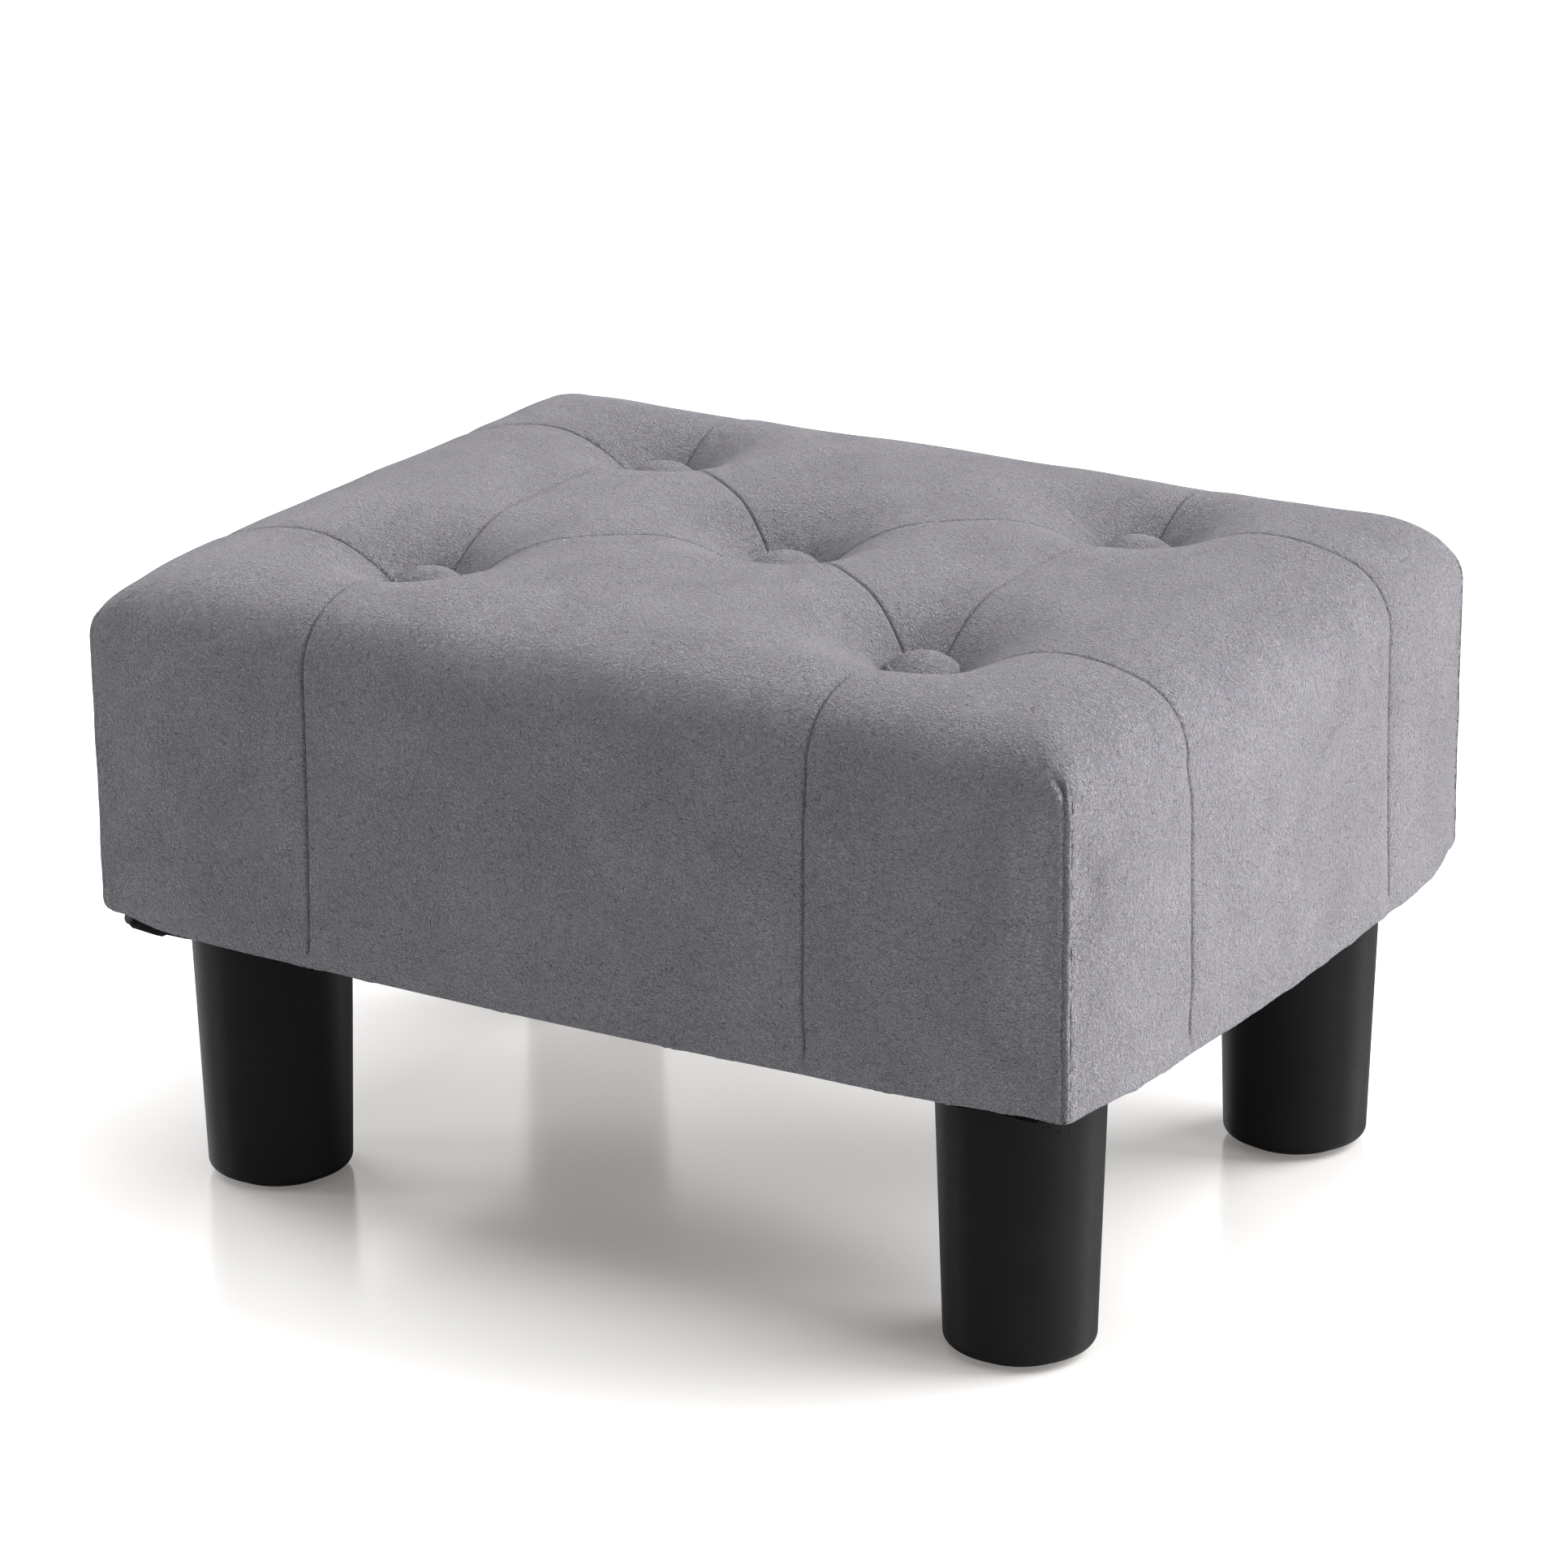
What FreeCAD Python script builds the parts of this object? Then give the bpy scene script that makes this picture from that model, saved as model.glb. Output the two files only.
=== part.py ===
import FreeCAD, Part
import math
import os

# Upholstered footstool: a padded seat with five sewn-in buttons on four screw-in legs.
# Millimetres. X runs along the long side, Y from front to back, Z up.
# The origin is on the floor under the middle of the seat.

V = FreeCAD.Vector
UP = V(0, 0, 1)

# Seat, measured over the cover at the foot of its corners
SEAT_LENGTH = 390.0
SEAT_WIDTH = 300.0

# Layers of the seat, from the floor side up
COVER_THICKNESS = 1.2
COVER_BACKING = 2.4
COVER_GAP = 0.2
WADDING_THICKNESS = 3.0
RAIL_HEIGHT = 87.0
RAIL_THICKNESS = 12.0
DECK_THICKNESS = 9.0
FOAM_THICKNESS = 32.9
DUST_COVER_THICKNESS = 0.6
DUST_COVER_MARGIN = 2.5
HEM_WIDTH = 16.0

# Shape of the padding: how far the sides swell and how round the edges are
END_SWELL = 4.6
SIDE_SWELL = 4.4
PANEL_SWELL = 1.4
HEM_SWELL = 0.55
SWELL_RISE = 30.0
HEM_ROUNDING = 1.6
EDGE_ROLL_RADIUS = 26.0
EDGE_ROLL_ANGLE = 70.0
EDGE_CROWN_RADIUS = 90.0
EDGE_STEPS = 3
CORNER_RADIUS = 5.5
CORNER_RADIUS_TOP = 16.0

# Sewn seams and the buttons that pull them down
BUTTON_SPACING_X = 199.0
BUTTON_TO_LONG_EDGE = 73.0
SEAM_DEPTH = 2.0
SEAM_HALF_WIDTH = 6.0
SEAM_LIFT = 0.5
SEAM_ROOF = 6.0
SEAM_LEAN = 0.8
SEAM_OVERLAP = 2.0
SEAM_TURN_UNDER = 4.0
TUFT_DEPTH = 18.4
TUFT_LIP_DEPTH = 15.0
TUFT_RADIUS = 52.0
TUFT_PAST_LEVEL = 4.0
TUFT_FLARE = 0.1
BUTTON_RADIUS = 12.5
BUTTON_HEIGHT = 8.4
BUTTON_RIM_HEIGHT = 3.4
BUTTON_FIT = 0.4
BUTTON_CLOTH = 0.9
BUTTON_TUCK = 4.5

# Flat shank and tape that hold a button down, and the peg that anchors them under the deck
SHANK_LENGTH = 6.0
SHANK_WIDTH = 6.0
SHANK_THICKNESS = 2.4
SHANK_SLOT_WIDTH = 3.0
SHANK_SLOT_HEIGHT = 2.4
SHANK_SLOT_DROP = 4.6
TWINE_WIDTH = 2.4
TWINE_THICKNESS = 0.8
TWINE_CLEARANCE = 0.3
TWINE_HOLE_RADIUS = 4.6
TOGGLE_RADIUS = 3.0
TOGGLE_LENGTH = 30.0

# Legs
LEG_LENGTH = 101.0
LEG_TOP_RADIUS = 29.2
LEG_FOOT_RADIUS = 26.1
LEG_INSET_X = 42.1
LEG_INSET_Y = 45.4
LEG_RIM_RADIUS = 3.0
LEG_WALL = 3.0
LEG_FLOOR = 5.0
LEG_BOSS_RADIUS = 10.5
LEG_RIB_COUNT = 4
LEG_RIB_THICKNESS = 2.2
FOOT_PAD_RADIUS = 20.0
FOOT_PAD_STAND_OFF = 2.5
FOOT_PAD_RECESS = 1.0
FOOT_PAD_EDGE = 0.8

# Leg fixings
BOLT_RADIUS = 4.0
BOLT_REACH = 20.0
BOLT_EMBEDMENT = 26.0
BOLT_HEAD_ACROSS_FLATS = 13.0
BOLT_HEAD_HEIGHT = 5.3
BOLT_TIP_CHAMFER = 1.0
BOLT_HOLE_FIT = 0.5
THREAD_CLEARANCE = 0.05
LEG_PLATE_THICKNESS = 15.0
LEG_PLATE_MARGIN = 26.0
LEG_PLATE_TIP = 10.0
TEE_NUT_BARREL_RADIUS = 5.2
TEE_NUT_BARREL_LENGTH = 11.0
TEE_NUT_FLANGE_RADIUS = 11.0
TEE_NUT_FLANGE_THICKNESS = 1.4
TEE_NUT_PRONG_LENGTH = 7.0
TEE_NUT_PRONG_WIDTH = 3.0
TEE_NUT_PRONG_INSET = 2.2
TEE_NUT_PRONG_COUNT = 4

# Screws and staples
SCREW_RADIUS = 2.0
SCREW_LENGTH = 40.0
DECK_SCREW_LENGTH = 32.0
SCREW_END_MARGIN = 20.0
PLATE_SCREW_HEIGHT = 9.0
PLATE_SCREW_BACK = 46.0
STAPLE_WIDTH = 10.0
STAPLE_WIRE = 0.7
STAPLE_DEPTH = 6.0
STAPLE_INSET = 2.0
HEM_STAPLE_INSET = 8.0
HEM_STAPLE_SHIFT = 0.25
STAPLES_LONG_SIDE = 4
STAPLES_SHORT_SIDE = 3

# Heights that follow from the stack
LEG_TOP_Z = FOOT_PAD_STAND_OFF + LEG_LENGTH
SEAT_BOTTOM_Z = LEG_TOP_Z + DUST_COVER_THICKNESS
FRAME_BOTTOM_Z = SEAT_BOTTOM_Z + COVER_THICKNESS
DECK_BOTTOM_Z = FRAME_BOTTOM_Z + RAIL_HEIGHT
DECK_TOP_Z = DECK_BOTTOM_Z + DECK_THICKNESS
LINING_INSET = COVER_THICKNESS + COVER_BACKING
PADDING_INSET = LINING_INSET + COVER_GAP
SEAT_TOP_Z = DECK_TOP_Z + FOAM_THICKNESS + PADDING_INSET
TUFT_FLOOR_Z = SEAT_TOP_Z - TUFT_DEPTH
EDGE_TURN = math.radians(EDGE_ROLL_ANGLE)
EDGE_ROLL_RISE = EDGE_ROLL_RADIUS * math.sin(EDGE_TURN)
EDGE_CROWN_RISE = EDGE_CROWN_RADIUS * (1 - math.sin(EDGE_TURN))
SHOULDER_Z = SEAT_TOP_Z - EDGE_ROLL_RISE - EDGE_CROWN_RISE

# Plan sizes that follow
HALF_LENGTH = SEAT_LENGTH / 2
HALF_WIDTH = SEAT_WIDTH / 2
FRAME_INSET = PADDING_INSET + WADDING_THICKNESS
FRAME_HALF_LENGTH = HALF_LENGTH - FRAME_INSET
FRAME_HALF_WIDTH = HALF_WIDTH - FRAME_INSET
INNER_HALF_LENGTH = FRAME_HALF_LENGTH - RAIL_THICKNESS
INNER_HALF_WIDTH = FRAME_HALF_WIDTH - RAIL_THICKNESS
LEG_X = HALF_LENGTH - LEG_INSET_X
LEG_Y = HALF_WIDTH - LEG_INSET_Y
BUTTON_X = BUTTON_SPACING_X / 2
BUTTON_Y = HALF_WIDTH - BUTTON_TO_LONG_EDGE
TWINE_OFFSET = TOGGLE_RADIUS + TWINE_CLEARANCE
PLATE_SIDE = (INNER_HALF_LENGTH - LEG_X + INNER_HALF_WIDTH - LEG_Y
              + LEG_PLATE_MARGIN * math.sqrt(2))

CORNERS = {
    "front_left": (-1, -1),
    "front_right": (1, -1),
    "back_left": (-1, 1),
    "back_right": (1, 1),
}
BUTTONS = {name: (sx * BUTTON_X, sy * BUTTON_Y) for name, (sx, sy) in CORNERS.items()}
BUTTONS["middle"] = (0.0, 0.0)


# Small helpers

def box(x0, y0, z0, x1, y1, z1):
    """A box between two corners."""
    return Part.makeBox(x1 - x0, y1 - y0, z1 - z0, V(x0, y0, z0))


def revolved(edges):
    """A solid of revolution about Z from a closed run of edges in the XZ plane."""
    face = Part.Face(Part.Wire(edges))
    return face.revolve(V(0, 0, 0), UP, 360)


def polyline(points):
    """Straight edges through points."""
    return [Part.LineSegment(a, b).toShape() for a, b in zip(points, points[1:])]


def arc(a, middle, b):
    """The arc through three points."""
    return Part.Arc(a, middle, b).toShape()


def sag_arc(a, b, rise):
    """An arc from a to b whose middle stands rise to the right of the way from a to b."""
    along = b - a
    side = V(along.y, -along.x, 0)
    side.normalize()
    return arc(a, (a + b) * 0.5 + side * rise, b)


def moved(shape, x, y, z=0.0):
    """A copy of the shape moved by x, y, z."""
    copy = shape.copy()
    copy.translate(V(x, y, z))
    return copy


def mirrored_to(shape, sx, sy):
    """A shape made for the back right corner, mirrored to another corner."""
    copy = shape.copy()
    if sx < 0:
        copy = copy.mirror(V(0, 0, 0), V(1, 0, 0))
    if sy < 0:
        copy = copy.mirror(V(0, 0, 0), V(0, 1, 0))
    return copy


# The padded seat's form, one quarter of it: the back right one, mirrored to the others

def outline(z, draw_in, swell, corner):
    """One level of the seat: three bowed panels a side, meeting at the seams, and round corners."""
    hx = HALF_LENGTH - draw_in
    hy = HALF_WIDTH - draw_in
    quarter = corner * (1 - math.sqrt(0.5))
    side = [V(hx, corner - hy, z), V(hx + END_SWELL * swell, -BUTTON_Y, z),
            V(hx + END_SWELL * swell, BUTTON_Y, z), V(hx, hy - corner, z)]
    back = [V(hx - corner, hy, z), V(BUTTON_X, hy + SIDE_SWELL * swell, z),
            V(-BUTTON_X, hy + SIDE_SWELL * swell, z), V(corner - hx, hy, z)]
    loop = []
    for turn in (1, -1):
        run_side = [V(p.x * turn, p.y * turn, z) for p in side]
        run_back = [V(p.x * turn, p.y * turn, z) for p in back]
        loop += [sag_arc(p, q, PANEL_SWELL * swell) for p, q in zip(run_side, run_side[1:])]
        near = V((hx - quarter) * turn, (hy - quarter) * turn, z)
        loop.append(arc(run_side[-1], near, run_back[0]))
        loop += [sag_arc(p, q, PANEL_SWELL * swell) for p, q in zip(run_back, run_back[1:])]
        far = V((quarter - hx) * turn, (hy - quarter) * turn, z)
        loop.append(arc(run_back[-1], far, V(-side[0].x * turn, -side[0].y * turn, z)))
    return Part.Wire(loop)


def edge_levels(inset, roll_steps, crown_steps):
    """Heights and draw-ins up the rounded top edge: a tight roll that eases into the crown."""
    roll = EDGE_ROLL_RADIUS - inset
    crown = EDGE_CROWN_RADIUS - inset
    levels = []
    for k in range(1, roll_steps + 1):
        angle = EDGE_TURN * k / roll_steps
        levels.append((SHOULDER_Z + roll * math.sin(angle), inset + roll * (1 - math.cos(angle))))
    z0, d0 = levels[-1]
    for k in range(1, crown_steps + 1):
        angle = EDGE_TURN + (math.pi / 2 - EDGE_TURN) * k / crown_steps
        levels.append((z0 + crown * (math.sin(angle) - math.sin(EDGE_TURN)),
                       d0 + crown * (math.cos(EDGE_TURN) - math.cos(angle))))
    return levels


def seat_block(inset, bottom, roll_steps, crown_steps, ruled):
    """The padding's block, drawn in all round by inset: hem, swollen sides, rolled top edge."""
    rise = bottom + HEM_ROUNDING
    corner = CORNER_RADIUS - inset
    low = outline(bottom, inset + HEM_ROUNDING / 2, HEM_SWELL, corner)
    hem = outline(rise, inset, HEM_SWELL, corner)
    full = outline(rise + SWELL_RISE, inset, 1.0, corner)
    shoulder = outline(SHOULDER_Z, inset, 1.0, corner)
    edge = [shoulder]
    levels = edge_levels(inset, roll_steps, crown_steps)
    for k, (z, draw_in) in enumerate(levels, 1):
        growth = (CORNER_RADIUS_TOP - CORNER_RADIUS) * k / len(levels)
        edge.append(outline(z, draw_in, 1.0, corner + growth))
    sides = Part.makeLoft([low, hem, full, shoulder], True, True)
    return sides.fuse(Part.makeLoft(edge, True, ruled))


def seam_section(place, way):
    """Cross-section of the pinched valley along a seam, square to the way at a place on it."""
    across = V(0, 1, 0)
    up = way.cross(across)
    low = place - up * SEAM_DEPTH
    rim = [place + across * (SEAM_HALF_WIDTH * side) + up * SEAM_LIFT for side in (1, -1)]
    roof = [p + up * SEAM_ROOF for p in rim]
    return Part.Face(Part.Wire(polyline([low, rim[0], roof[0], roof[1], rim[1], low])))


TUFT_RUN = TUFT_RADIUS - BUTTON_RADIUS - BUTTON_FIT
TUFT_ROLL_RADIUS = (TUFT_RUN * TUFT_RUN + TUFT_LIP_DEPTH * TUFT_LIP_DEPTH) / (2 * TUFT_LIP_DEPTH)
TUFT_SLOPE = math.asin(TUFT_RUN / TUFT_ROLL_RADIUS)


def button_valley(reach):
    """Valley from a button at the origin, up the tuft's roll and level along X to reach."""
    crest = V(TUFT_RADIUS, 0, SEAT_TOP_Z)
    centre = crest - V(0, 0, TUFT_ROLL_RADIUS)
    section = seam_section(crest, V(1, 0, 0))
    turn = math.degrees(TUFT_SLOPE) + SEAM_TURN_UNDER
    return [section.revolve(centre, V(0, -1, 0), turn), section.extrude(V(reach - crest.x, 0, 0))]


def edge_valley(face):
    """Valley over the rolled edge and down the side, for a side face at X = face."""
    roll_centre = V(face - EDGE_ROLL_RADIUS, 0, SHOULDER_Z)
    out = V(math.cos(EDGE_TURN), 0, math.sin(EDGE_TURN))
    join = roll_centre + out * EDGE_ROLL_RADIUS
    crown_centre = join - out * EDGE_CROWN_RADIUS
    crest = crown_centre + V(0, 0, EDGE_CROWN_RADIUS)
    lean = math.radians(SEAM_LEAN)
    end = roll_centre + V(math.cos(lean), 0, math.sin(lean)) * EDGE_ROLL_RADIUS
    down = V(math.sin(lean), 0, -math.cos(lean))
    axis = V(0, 1, 0)
    top = seam_section(crest, V(1, 0, 0))
    middle = seam_section(join, V(math.sin(EDGE_TURN), 0, -math.cos(EDGE_TURN)))
    side = middle.copy()
    side.rotate(roll_centre, axis, EDGE_ROLL_ANGLE - SEAM_LEAN)
    return [top.extrude(V(-SEAM_OVERLAP, 0, 0)),
            top.revolve(crown_centre, axis, 90 - EDGE_ROLL_ANGLE),
            middle.revolve(roll_centre, axis, EDGE_ROLL_ANGLE - SEAM_LEAN),
            side.extrude(down * (end.z - SEAT_BOTTOM_Z + SEAM_DEPTH))]


def tuft_funnel(inset, floor, rolled):
    """The hollow one button pulls into the padding: rolled, or in two cones for what is inside."""
    top = SEAT_TOP_Z - inset
    radius = TUFT_ROLL_RADIUS - inset
    centre = V(TUFT_RADIUS, 0, top - radius)

    def on(angle):
        return centre + V(-math.sin(angle), 0, math.cos(angle)) * radius

    lip = on(TUFT_SLOPE)
    middle = on(TUFT_SLOPE / 2)
    crest = on(0)
    rim = crest + V(TUFT_PAST_LEVEL, 0, TUFT_PAST_LEVEL * TUFT_FLARE)
    roof = top + TUFT_DEPTH
    roll = [arc(lip, middle, crest)] if rolled else polyline([lip, middle, crest])
    return revolved(roll + polyline([crest, rim, V(rim.x, 0, roof), V(0, 0, roof), V(0, 0, floor),
                                     V(lip.x, 0, floor), lip]))


def turned(shape, degrees, x, y):
    """The shape turned about Z and then moved."""
    copy = shape.copy()
    copy.rotate(V(0, 0, 0), UP, degrees)
    copy.translate(V(x, y, 0))
    return copy


def seam_valleys():
    """The seams of the back right quarter."""
    angle = math.degrees(math.atan2(BUTTON_Y, BUTTON_X))
    slant = button_valley(math.hypot(BUTTON_X, BUTTON_Y) / 2 + SEAM_OVERLAP)
    to_edge = button_valley(TUFT_RADIUS + SEAM_OVERLAP)
    to_button = button_valley(BUTTON_Y + SEAM_OVERLAP)
    placed = [(slant, angle, 0, 0), (slant, angle + 180, BUTTON_X, BUTTON_Y),
              (to_edge, 0, BUTTON_X, BUTTON_Y), (to_edge, 90, BUTTON_X, BUTTON_Y),
              (to_button, -90, BUTTON_X, BUTTON_Y),
              (edge_valley(HALF_LENGTH + END_SWELL), 0, 0, BUTTON_Y),
              (edge_valley(HALF_WIDTH + SIDE_SWELL), 90, BUTTON_X, 0)]
    return [turned(one, degrees, x, y) for valley, degrees, x, y in placed for one in valley]


def tufted(block, funnel):
    """The back right quarter of a block with its button hollows."""
    far = SEAT_LENGTH
    quarter = block.common(box(0, 0, 0, far, far, far))
    return quarter.cut([funnel, moved(funnel, BUTTON_X, BUTTON_Y)])


def outer_quarter():
    """The seat's outside form: rolled edge and tufts, seams pinched in."""
    block = seat_block(0.0, SEAT_BOTTOM_Z, EDGE_STEPS, EDGE_STEPS, False)
    quarter = tufted(block, tuft_funnel(0.0, TUFT_FLOOR_Z, True))
    for valley in seam_valleys():
        quarter = quarter.cut(valley)
    return quarter


def inner_quarter(inset, bottom, floor):
    """The form of what lies inside the cover, drawn in by inset, its rolls in plain facets."""
    block = seat_block(inset, bottom, 2, 1, True)
    return tufted(block, tuft_funnel(inset, floor, False))


def whole(quarter):
    """A quarter joined with its three mirror images."""
    half = quarter.fuse(quarter.mirror(V(0, 0, 0), V(1, 0, 0)))
    return half.fuse(half.mirror(V(0, 0, 0), V(0, 1, 0)))


def button_holes(z0, z1):
    """Holes for the twine and the eye of each button between two heights."""
    return [Part.makeCylinder(TWINE_HOLE_RADIUS, z1 - z0, V(x, y, z0)) for x, y in BUTTONS.values()]


def cover(cutters):
    """The sewn cover with its quilted backing: seams pinched through, hem turned in under."""
    inside = inner_quarter(LINING_INSET, FRAME_BOTTOM_Z, TUFT_FLOOR_Z - COVER_THICKNESS)
    opening = box(0, 0, 0, HALF_LENGTH - HEM_WIDTH, HALF_WIDTH - HEM_WIDTH,
                  FRAME_BOTTOM_Z + COVER_THICKNESS)
    shell = whole(outer_quarter().cut([inside, opening]))
    return shell.cut(button_holes(TUFT_FLOOR_Z - LINING_INSET, SEAT_TOP_Z) + cutters)


def foam_pad(padding):
    """Foam block on the deck, shaped by the buttons."""
    far = SEAT_LENGTH
    upper = padding.common(box(0, 0, DECK_TOP_Z, far, far, far))
    return whole(upper).cut(button_holes(DECK_TOP_Z, SEAT_TOP_Z))


def side_wadding(padding):
    """Soft wrap round the outside of the rails and the deck's edges."""
    far = SEAT_LENGTH
    lower = padding.common(box(0, 0, 0, far, far, DECK_TOP_Z))
    return whole(lower.cut(box(0, 0, 0, FRAME_HALF_LENGTH, FRAME_HALF_WIDTH, far)))


def dust_cover(cutters):
    """Thin black cloth closing the underside, cut for the four leg bolts."""
    hx = HALF_LENGTH - DUST_COVER_MARGIN
    hy = HALF_WIDTH - DUST_COVER_MARGIN
    sheet = box(-hx, -hy, LEG_TOP_Z, hx, hy, SEAT_BOTTOM_Z)
    holes = [Part.makeCylinder(BOLT_RADIUS + BOLT_HOLE_FIT, DUST_COVER_THICKNESS,
                               V(sx * LEG_X, sy * LEG_Y, LEG_TOP_Z)) for sx, sy in CORNERS.values()]
    return sheet.cut(holes + cutters)


# Fasteners, made first so that what they go through is cut to them

def screw(x, y, z, length, direction):
    """A screw with its head's middle at x, y, z, driven in along a direction."""
    return Part.makeCylinder(SCREW_RADIUS, length, V(x, y, z), direction)


def frame_screws():
    """Two screws a corner, through the long rails into the ends of the short ones."""
    x = FRAME_HALF_LENGTH - RAIL_THICKNESS / 2
    heights = (FRAME_BOTTOM_Z + SCREW_END_MARGIN * 2, DECK_BOTTOM_Z - SCREW_END_MARGIN)
    return [screw(sx * x, sy * FRAME_HALF_WIDTH, z, SCREW_LENGTH, V(0, -sy, 0))
            for sx, sy in CORNERS.values() for z in heights]


def plate_screws():
    """A screw for each leg plate, through the long rail into the plate's edge."""
    x = INNER_HALF_LENGTH - PLATE_SCREW_BACK
    z = SEAT_BOTTOM_Z + PLATE_SCREW_HEIGHT
    return [screw(sx * x, sy * FRAME_HALF_WIDTH, z, SCREW_LENGTH, V(0, -sy, 0))
            for sx, sy in CORNERS.values()]


def deck_screws():
    """Screws through the deck into the top edges of the rails."""
    x = FRAME_HALF_LENGTH - RAIL_THICKNESS / 2
    y = FRAME_HALF_WIDTH - RAIL_THICKNESS / 2
    along = FRAME_HALF_LENGTH - SCREW_END_MARGIN * 2
    spots = [(sx * along, sy * y) for sx, sy in CORNERS.values()] + [(x, 0), (-x, 0)]
    return [screw(px, py, DECK_TOP_Z, DECK_SCREW_LENGTH, V(0, 0, -1)) for px, py in spots]


def staple(crown_z, along_x):
    """One staple, its crown's underside at crown_z and its prongs pointing up."""
    half = STAPLE_WIDTH / 2
    wire = STAPLE_WIRE
    crown = box(-half, -wire / 2, crown_z, half, wire / 2, crown_z + wire)
    prongs = [box(a, -wire / 2, crown_z, a + wire, wire / 2, crown_z + STAPLE_DEPTH)
              for a in (-half, half - wire)]
    made = crown.fuse(prongs).removeSplitter()
    if not along_x:
        made.rotate(V(0, 0, 0), UP, 90)
    return made


def staple_row(inset, crown_z, shift):
    """Staples evenly along the four sides, shifted by a share of their spacing."""
    x = FRAME_HALF_LENGTH - inset
    y = FRAME_HALF_WIDTH - inset
    made = []
    for k in range(STAPLES_LONG_SIDE):
        run = x * ((2 * (k + shift) + 1) / STAPLES_LONG_SIDE - 1)
        made += [moved(staple(crown_z, True), run, side * y) for side in (-1, 1)]
    for k in range(STAPLES_SHORT_SIDE):
        run = y * ((2 * (k + shift) + 1) / STAPLES_SHORT_SIDE - 1)
        made += [moved(staple(crown_z, False), side * x, run) for side in (-1, 1)]
    return made


def hem_staples():
    """Staples that hold the cover's hem up against the rails."""
    return staple_row(HEM_STAPLE_INSET, SEAT_BOTTOM_Z, HEM_STAPLE_SHIFT)


def dust_cover_staples():
    """Staples that hold the dust cover, nearer the edge and through the hem into the rails."""
    return staple_row(STAPLE_INSET, LEG_TOP_Z - STAPLE_WIRE / 2, -HEM_STAPLE_SHIFT)


# Frame

def rail_long(sy, cutters):
    """Front or back rail, the full length of the frame."""
    y0, y1 = sorted((sy * INNER_HALF_WIDTH, sy * FRAME_HALF_WIDTH))
    board = box(-FRAME_HALF_LENGTH, y0, FRAME_BOTTOM_Z, FRAME_HALF_LENGTH, y1, DECK_BOTTOM_Z)
    return board.cut(cutters)


def rail_short(sx, cutters):
    """Left or right rail, between the long ones."""
    x0, x1 = sorted((sx * INNER_HALF_LENGTH, sx * FRAME_HALF_LENGTH))
    board = box(x0, -INNER_HALF_WIDTH, FRAME_BOTTOM_Z, x1, INNER_HALF_WIDTH, DECK_BOTTOM_Z)
    return board.cut(cutters)


def deck_board(cutters):
    """The board under the foam, with a hole for each button's twine."""
    board = box(-FRAME_HALF_LENGTH, -FRAME_HALF_WIDTH, DECK_BOTTOM_Z,
                FRAME_HALF_LENGTH, FRAME_HALF_WIDTH, DECK_TOP_Z)
    return board.cut(button_holes(DECK_BOTTOM_Z, DECK_TOP_Z) + cutters)


def leg_plate():
    """Three-cornered plate in the back right corner of the frame, level with the hem."""
    side = PLATE_SIDE
    tip = LEG_PLATE_TIP
    corner = V(INNER_HALF_LENGTH, INNER_HALF_WIDTH, SEAT_BOTTOM_Z)
    points = [V(0, 0, 0), V(-side, 0, 0), V(-side, -tip, 0), V(-tip, -side, 0), V(0, -side, 0)]
    run = [corner + p for p in points]
    face = Part.Face(Part.Wire(polyline(run + [run[0]])))
    return face.extrude(V(0, 0, LEG_PLATE_THICKNESS))


# Leg fixings, made about the leg's axis

def tee_nut():
    """Flanged nut knocked into a leg plate from above, with four prongs."""
    top = SEAT_BOTTOM_Z + LEG_PLATE_THICKNESS
    flange_top = top + TEE_NUT_FLANGE_THICKNESS
    bore = BOLT_RADIUS + THREAD_CLEARANCE
    body = revolved(polyline([V(bore, 0, top - TEE_NUT_BARREL_LENGTH),
                              V(TEE_NUT_BARREL_RADIUS, 0, top - TEE_NUT_BARREL_LENGTH),
                              V(TEE_NUT_BARREL_RADIUS, 0, top), V(TEE_NUT_FLANGE_RADIUS, 0, top),
                              V(TEE_NUT_FLANGE_RADIUS, 0, flange_top), V(bore, 0, flange_top),
                              V(bore, 0, top - TEE_NUT_BARREL_LENGTH)]))
    half = TEE_NUT_PRONG_WIDTH / 2
    inner = TEE_NUT_FLANGE_RADIUS - TEE_NUT_PRONG_INSET
    spike = Part.Face(Part.Wire(polyline([V(inner, -half, top), V(inner, half, top),
                                          V(inner, 0, top - TEE_NUT_PRONG_LENGTH),
                                          V(inner, -half, top)])))
    prong = spike.extrude(V(TEE_NUT_FLANGE_THICKNESS, 0, 0))
    prongs = []
    for k in range(TEE_NUT_PRONG_COUNT):
        one = prong.copy()
        one.rotate(V(0, 0, 0), UP, 360 / TEE_NUT_PRONG_COUNT * (k + 0.5))
        prongs.append(one)
    return body.fuse(prongs)


def leg_bolt():
    """Bolt moulded head down into the leg, its shank standing out of the leg's top."""
    low = LEG_TOP_Z - BOLT_EMBEDMENT
    tip = LEG_TOP_Z + BOLT_REACH
    across = BOLT_HEAD_ACROSS_FLATS / math.sqrt(3)
    hexagon = [V(across * math.cos(math.radians(60 * k)), across * math.sin(math.radians(60 * k)),
                 low) for k in range(7)]
    head = Part.Face(Part.Wire(polyline(hexagon))).extrude(V(0, 0, BOLT_HEAD_HEIGHT))
    shank = Part.makeCylinder(BOLT_RADIUS, tip - BOLT_TIP_CHAMFER - low, V(0, 0, low))
    point = Part.makeCone(BOLT_RADIUS, BOLT_RADIUS - BOLT_TIP_CHAMFER, BOLT_TIP_CHAMFER,
                          V(0, 0, tip - BOLT_TIP_CHAMFER))
    return head.fuse([shank, point]).removeSplitter()


# Leg, made about its own axis

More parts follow.
